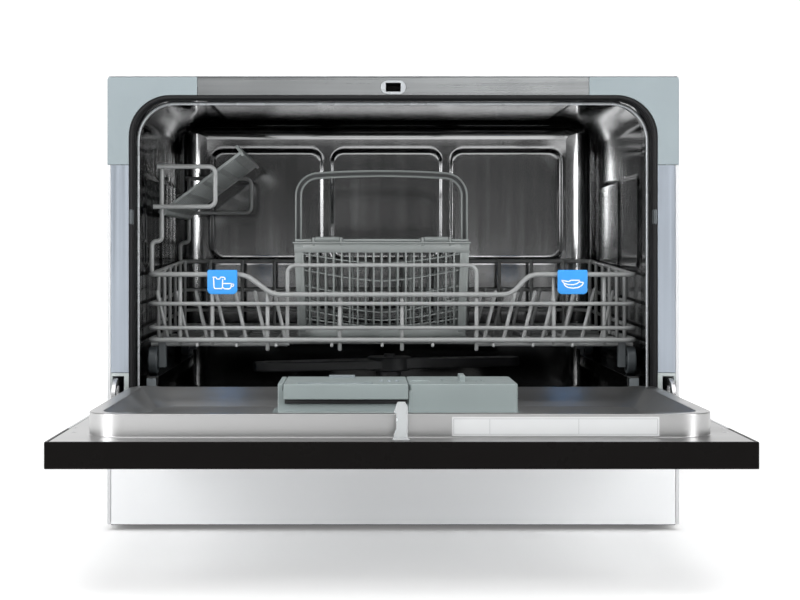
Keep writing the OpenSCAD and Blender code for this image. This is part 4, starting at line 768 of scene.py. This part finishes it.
# Blank plate on the pan's front wall, with plain dividing lines
PLATE_X, PLATE_Z, PLATE_BACK, PLATE_FACE = (0.0404, 0.2035), (0.1232, 0.1382), FRONT - 0.2838, FRONT - 0.28425
LINES_X, LINES_Z, DIVISIONS = (0.0416, 0.2023), (0.1245, 0.1369), (0.0700, 0.1400)
LINE, LINE_OUT, LINE_SUNK, PLATE_EDGE = 0.0003, 0.00009, 0.00005, 0.00008
bm = bmesh.new()
slab(bm, (PLATE_X[0], PLATE_FACE, PLATE_Z[0]), (PLATE_X[1], PLATE_BACK, PLATE_Z[1]))
bevel_all(bm, PLATE_EDGE, 1)
finish_mesh(bm, "blank_plate", M["label"], "door", "port_plastic")
bm = bmesh.new()
bars = [(*LINES_X, LINES_Z[1] - LINE, LINES_Z[1]), (*LINES_X, LINES_Z[0], LINES_Z[0] + LINE)]
bars += [(x, x + LINE, *LINES_Z) for x in (LINES_X[0], LINES_X[1] - LINE, *DIVISIONS)]
for x0, x1, z0, z1 in bars:
    slab(bm, (x0, PLATE_FACE - LINE_OUT, z0), (x1, PLATE_FACE + LINE_SUNK, z1))
finish_outward(bm, "blank_plate_lines", M["print"], "door", "port_plastic")

# Half the section of a screw head, in parts of its radius and height
SCREW_SECTION = ((0.45, 0.97), (0.8, 0.72), (1, 0.25))
SCREW_SIDES, RECESS_R, RECESS_FLOOR, RECESS_EDGE = 24, 0.42, 0.35, 0.97


# Screw heads with a cross recess
def screws(name, spots, axis, body, r, height):
    g = bmesh.new()
    turn = Vector(axis).to_track_quat("Z", "Y").to_matrix().to_4x4()
    angles = [2 * math.pi * k / SCREW_SIDES for k in range(SCREW_SIDES)]
    section = [(r * q, height * up) for q, up in SCREW_SECTION] + [(r, -SUNK)]
    for p in spots:
        place = Matrix.Translation(Vector(p)) @ turn

        def put(q, a, up):
            return g.verts.new(place @ Vector((q * math.cos(a), q * math.sin(a), up)))
        rows = [[put(q, a, up) for a in angles] for q, up in section]
        for a, b in zip(rows, rows[1:]):
            for k in range(SCREW_SIDES):
                n = (k + 1) % SCREW_SIDES
                g.faces.new((a[k], b[k], b[n], a[n]))
        centre = put(0, 0, height * RECESS_FLOOR)
        inner = [put(r * RECESS_R, a, height * (RECESS_FLOOR if k % 6 in (0, 1, 5) else RECESS_EDGE))
                 for k, a in enumerate(angles)]
        for k in range(SCREW_SIDES):
            n = (k + 1) % SCREW_SIDES
            g.faces.new((rows[0][k], rows[0][n], inner[n], inner[k]))
            g.faces.new((inner[k], inner[n], centre))
    return finish_outward(g, name, M["hinge"], body, "hinge_steel", 50)


# Screws in the door's flange and in the rear panel, the same on both sides
FLANGE_TOP = 0.1220
FLANGE_SPOTS = ((0.2684, -0.2145), (0.2640, -0.2460), (0.2600, -0.1100))
REAR_SPOTS = ((0.262, 0.03), (0.262, 0.22), (0.262, 0.42), (0.09, 0.42), (0.15, 0.022))
rear_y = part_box("rear_panel")[1].y
screws("flange_screws", [(side * x, FRONT + y, FLANGE_TOP) for side in (-1, 1) for x, y in FLANGE_SPOTS],
       (0, 0, 1), "door", 0.0026, 0.0003)
screws("rear_screws", [(side * x, rear_y, z) for side in (-1, 1) for x, z in REAR_SPOTS],
       (0, 1, 0), "cabinet", 0.0036, 0.0013)

# Pressed steel walls inside the tub: raised pads with sloping edges, rounded corners, a faint ripple.
# A pad is (start, end, low, high, corner radius)
TUB_R, BACK_R, SLOPE, RISE = 0.0330, 0.0200, 0.0060, 0.0023
RIPPLE, WAVES, WAVE_SHIFT, WAVE_PART = 0.00022, (520, 337), 1.3, 0.7
PAD_LOW, PAD_TOP, BACK_LOW, BACK_TOP = 0.2548, 0.3410, 0.2618, 0.3870
SIDE_PADS = [(FRONT + 0.060, FRONT + 0.155, PAD_LOW, PAD_TOP, 0.008),
             (FRONT + 0.183, FRONT + 0.312, PAD_LOW, PAD_TOP, 0.008)]
BACK_PADS = [(x0, x1, BACK_LOW, BACK_TOP, 0.010) for x0, x1 in
             ((-0.0625, 0.0625), (0.0810, 0.2075), (-0.2075, -0.0810))]
ROOF_PADS = [(-0.185, 0.185, FRONT + 0.095, FRONT + 0.335, 0.016),
             (-0.030, 0.030, FRONT + 0.052, FRONT + 0.078, 0.008)]
EDGE_OFFSETS = [-0.010, -0.007, -0.004, -0.002, 0, 0.001, 0.002, 0.003, 0.004, 0.005, 0.007, 0.010]
GRID_STEP, RIPPLE_STEP, SIDE_STEPS, BACK_STEPS = 0.020, 0.0018, 12, 14
SIDE_GAP, ROOF_GAP, REAR_GAP = 0.0003, 0.0033, 0.0013
tub_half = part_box("rack_rails")[1].x - SIDE_GAP
tub_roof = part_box("tub")[1].z - ROOF_GAP
tub_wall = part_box("tub")[1].y - REAR_GAP
tub_start, tub_base = FRONT + 0.0470, 0.1280


# How far a value has gone from start on the way to end, from 0 to 1
def part_way(value, start, end):
    return min(max((value - start) / (end - start), 0), 1)


# How far the wall stands out at a point
def pad_height(pads, u, w):
    best = 0.0
    for u0, u1, w0, w1, r in pads:
        du = max(abs(u - (u0 + u1) / 2) - (u1 - u0) / 2 + r, 0)
        dw = max(abs(w - (w0 + w1) / 2) - (w1 - w0) / 2 + r, 0)
        t = 1 - part_way(math.hypot(du, dw), r, r + SLOPE)
        best = max(best, t * t * (3 - 2 * t))
    return best * RISE


# Faint waves in the wall, which fade out at its top, bottom and front
def ripple(y, z):
    fade = (1 - part_way(z, 0.365, 0.395)) * part_way(z, 0.20, 0.22) * part_way(y - FRONT, 0.055, 0.065)
    waves = math.sin((y - FRONT) * WAVES[0]) + WAVE_PART * math.sin((y - FRONT) * WAVES[1] + WAVE_SHIFT)
    return RIPPLE * fade * waves


# Grid lines that are close together around the pads' edges
def grid_lines(low, high, pads, i, step=GRID_STEP):
    edges = [(pad[i + k], sign) for pad in pads for k, sign in ((0, -1), (1, 1))]
    near = {round(min(max(e + sign * o, low), high), 5) for e, sign in edges for o in EDGE_OFFSETS}
    stops = sorted(near | {low, high})
    out = []
    for a, b in zip(stops, stops[1:]):
        parts = max(1, math.ceil((b - a) / step))
        out += [a + (b - a) * k / parts for k in range(parts)]
    return out + [high]


# One upper corner of the walls' outline, seen from the front.
# A point of the outline is (x, z, inward x, inward z, kind of wall)
def tub_corner(side, start):
    angles = [start - math.pi / 2 * k / SIDE_STEPS for k in range(SIDE_STEPS)]
    return [(side * (tub_half - TUB_R) + TUB_R * math.cos(a), tub_roof - TUB_R + TUB_R * math.sin(a),
             -math.cos(a), -math.sin(a), "corner") for a in angles]


z_lines = grid_lines(tub_base, tub_roof - TUB_R, SIDE_PADS, 2)
x_lines = grid_lines(-tub_half + TUB_R, tub_half - TUB_R, ROOF_PADS, 0)
depth_pads = [pad[:2] for pad in SIDE_PADS] + [pad[2:4] for pad in ROOF_PADS]
y_lines = grid_lines(tub_start, tub_wall - BACK_R, depth_pads, 0, RIPPLE_STEP)
outline = [(-tub_half, z, 1, 0, "left") for z in z_lines[:-1]] + tub_corner(-1, math.pi)
outline += [(x, tub_roof, 0, -1, "roof") for x in x_lines[:-1]] + tub_corner(1, math.pi / 2)
outline += [(tub_half, z, -1, 0, "right") for z in z_lines[::-1]]
bend = [math.pi / 2 * k / BACK_STEPS for k in range(1, BACK_STEPS + 1)]
stations = [(y, 0.0) for y in y_lines]
stations += [(tub_wall - BACK_R + BACK_R * math.sin(a), BACK_R * (1 - math.cos(a))) for a in bend]
bm = bmesh.new()
grid = []
for y, rounding in stations:
    line = []
    for x, z, nx, nz, kind in outline:
        height = rounding
        if kind in ("left", "right"):
            height += pad_height(SIDE_PADS, y, z)
        if kind == "left":
            height += ripple(y, z)
        if kind == "roof":
            height += pad_height(ROOF_PADS, x, y)
        line.append(bm.verts.new((x + nx * height, y, z + nz * height)))
    grid.append(line)
bridge(bm, grid, False)
wall_z_lines = grid_lines(tub_base, tub_roof - BACK_R, BACK_PADS, 2)
wall_x_lines = grid_lines(-tub_half + BACK_R, tub_half - BACK_R, BACK_PADS, 0)
rows = [[bm.verts.new((x, tub_wall - pad_height(BACK_PADS, x, z), z)) for x in wall_x_lines]
        for z in wall_z_lines]
bridge(bm, rows, False)
finish_outward(bm, "tub_walls", M["tub"], "cabinet", "stainless", 60)

# Rolled edge of the tub inside the gasket, in pale silver brighter than the tub's steel: a real edge with a
# painted highlight
EDGE_LOOP, EDGE_Y = (0.2487, 0.1262, 0.4128, 0.0360, 0.0060), FRONT + 0.0262
EDGE_WIDTH, EDGE_DEPTH = 0.0014, 0.0012
bm = bmesh.new()
angles = [math.pi * k / 6 for k in range(12)]
sweep(bm, opening_path(EDGE_Y, *EDGE_LOOP),
      [(EDGE_WIDTH * math.cos(a), EDGE_DEPTH * math.sin(a)) for a in angles], True)
finish_outward(bm, "tub_edge", M["chrome"], "cabinet", "stainless", 80)

# Painted shade on the roof of the tub's neck behind the gasket: a thin near-black sheet
NECK_LOOP, NECK_Y = (0.2498, 0.1262, 0.4147, 0.0370, 0.0060), FRONT + 0.0246
NECK_FROM, NECK_THICK, NECK_DEPTH = 0.384, 0.0008, 0.0222
bm = bmesh.new()
sweep(bm, [p for p in opening_path(NECK_Y, *NECK_LOOP) if p.z > NECK_FROM],
      [(0, 0), (NECK_THICK, 0), (NECK_THICK, NECK_DEPTH), (0, NECK_DEPTH)])
finish_outward(bm, "tub_neck_painted_shade", M["neck"], "cabinet", "stainless", 60)

# Pale floor, which glows more with distance, so that it stays plain white
FLOOR_SIZE, GLOW, GLOW_FROM_TO = 8, (0.15, 1.05), (0.6, 2.6)
bpy.context.scene.view_settings.view_transform = "Standard"
floor_bm = bmesh.new()
bmesh.ops.create_grid(floor_bm, x_segments=1, y_segments=1, size=FLOOR_SIZE)
floor_me = bpy.data.meshes.new("floor")
floor_bm.to_mesh(floor_me)
floor = add_object("floor", floor_me)
m = Material("floor_pale")
far = m.node("VectorMath")
far.operation = "LENGTH"
m.feed(far.inputs[0], m.place)
floor_me.materials.append(m.put(
    Base_Color=m.mix(m.noise(2, 2), (0.93, 0.93, 0.93), (0.95, 0.95, 0.95)), Roughness=0.7,
    Emission_Color=(1, 1, 1, 1), Emission_Strength=m.span(far.outputs["Value"], *GLOW, *GLOW_FROM_TO)))

# Soft surroundings, dim behind the camera and bright behind the object: two ramps over the
# direction's Y, each (strength at its start, at its end, start, end)
BEHIND_CAMERA, BEHIND_OBJECT = (0.06, 0.34, -0.94, -0.6), (0, 0.8, 0.55, 0.93)
world = bpy.data.worlds.new("studio")
bpy.context.scene.world = world
world.use_nodes = True
studio = Tree(world.node_tree)
toward = studio.axes(studio.node("TexCoord").outputs["Generated"])["Y"]
back = world.node_tree.nodes["Background"]
studio.feed(back.inputs["Color"], (1, 1, 1, 1))
studio.feed(back.inputs["Strength"],
            studio.math("ADD", studio.span(toward, *BEHIND_CAMERA), studio.span(toward, *BEHIND_OBJECT)))

# Area lights: name, place, aim, size, power
LIGHTS = [
    ("key_left", (-1.9, -1.6, 1.1), (0, 0, 0.25), (1.0, 1.6), 31),
    ("key_right", (1.9, -1.6, 1.1), (0, 0, 0.25), (1.0, 1.6), 27),
    ("front", (0, -3.2, 1.3), (0, -0.2, 0.2), (2.4, 0.9), 8),
    ("strip_left", (-1.75, -1.40, 0.75), (0, 0.2, 0.3), (0.22, 1.3), 9),
    ("strip_right", (1.75, -1.40, 0.75), (0, 0.2, 0.3), (0.22, 1.3), 9),
    ("top", (0, -0.6, 2.4), (0, -0.1, 0.2), (2.4, 1.8), 32),
]
for name, place, aim, size, power in LIGHTS:
    data = bpy.data.lights.new(name, "AREA")
    data.shape = "RECTANGLE"
    data.size, data.size_y = size
    data.energy = power
    ob = add_object(name, data)
    ob.location = place
    ob.rotation_euler = (Vector(aim) - Vector(place)).to_track_quat("-Z", "Y").to_euler()
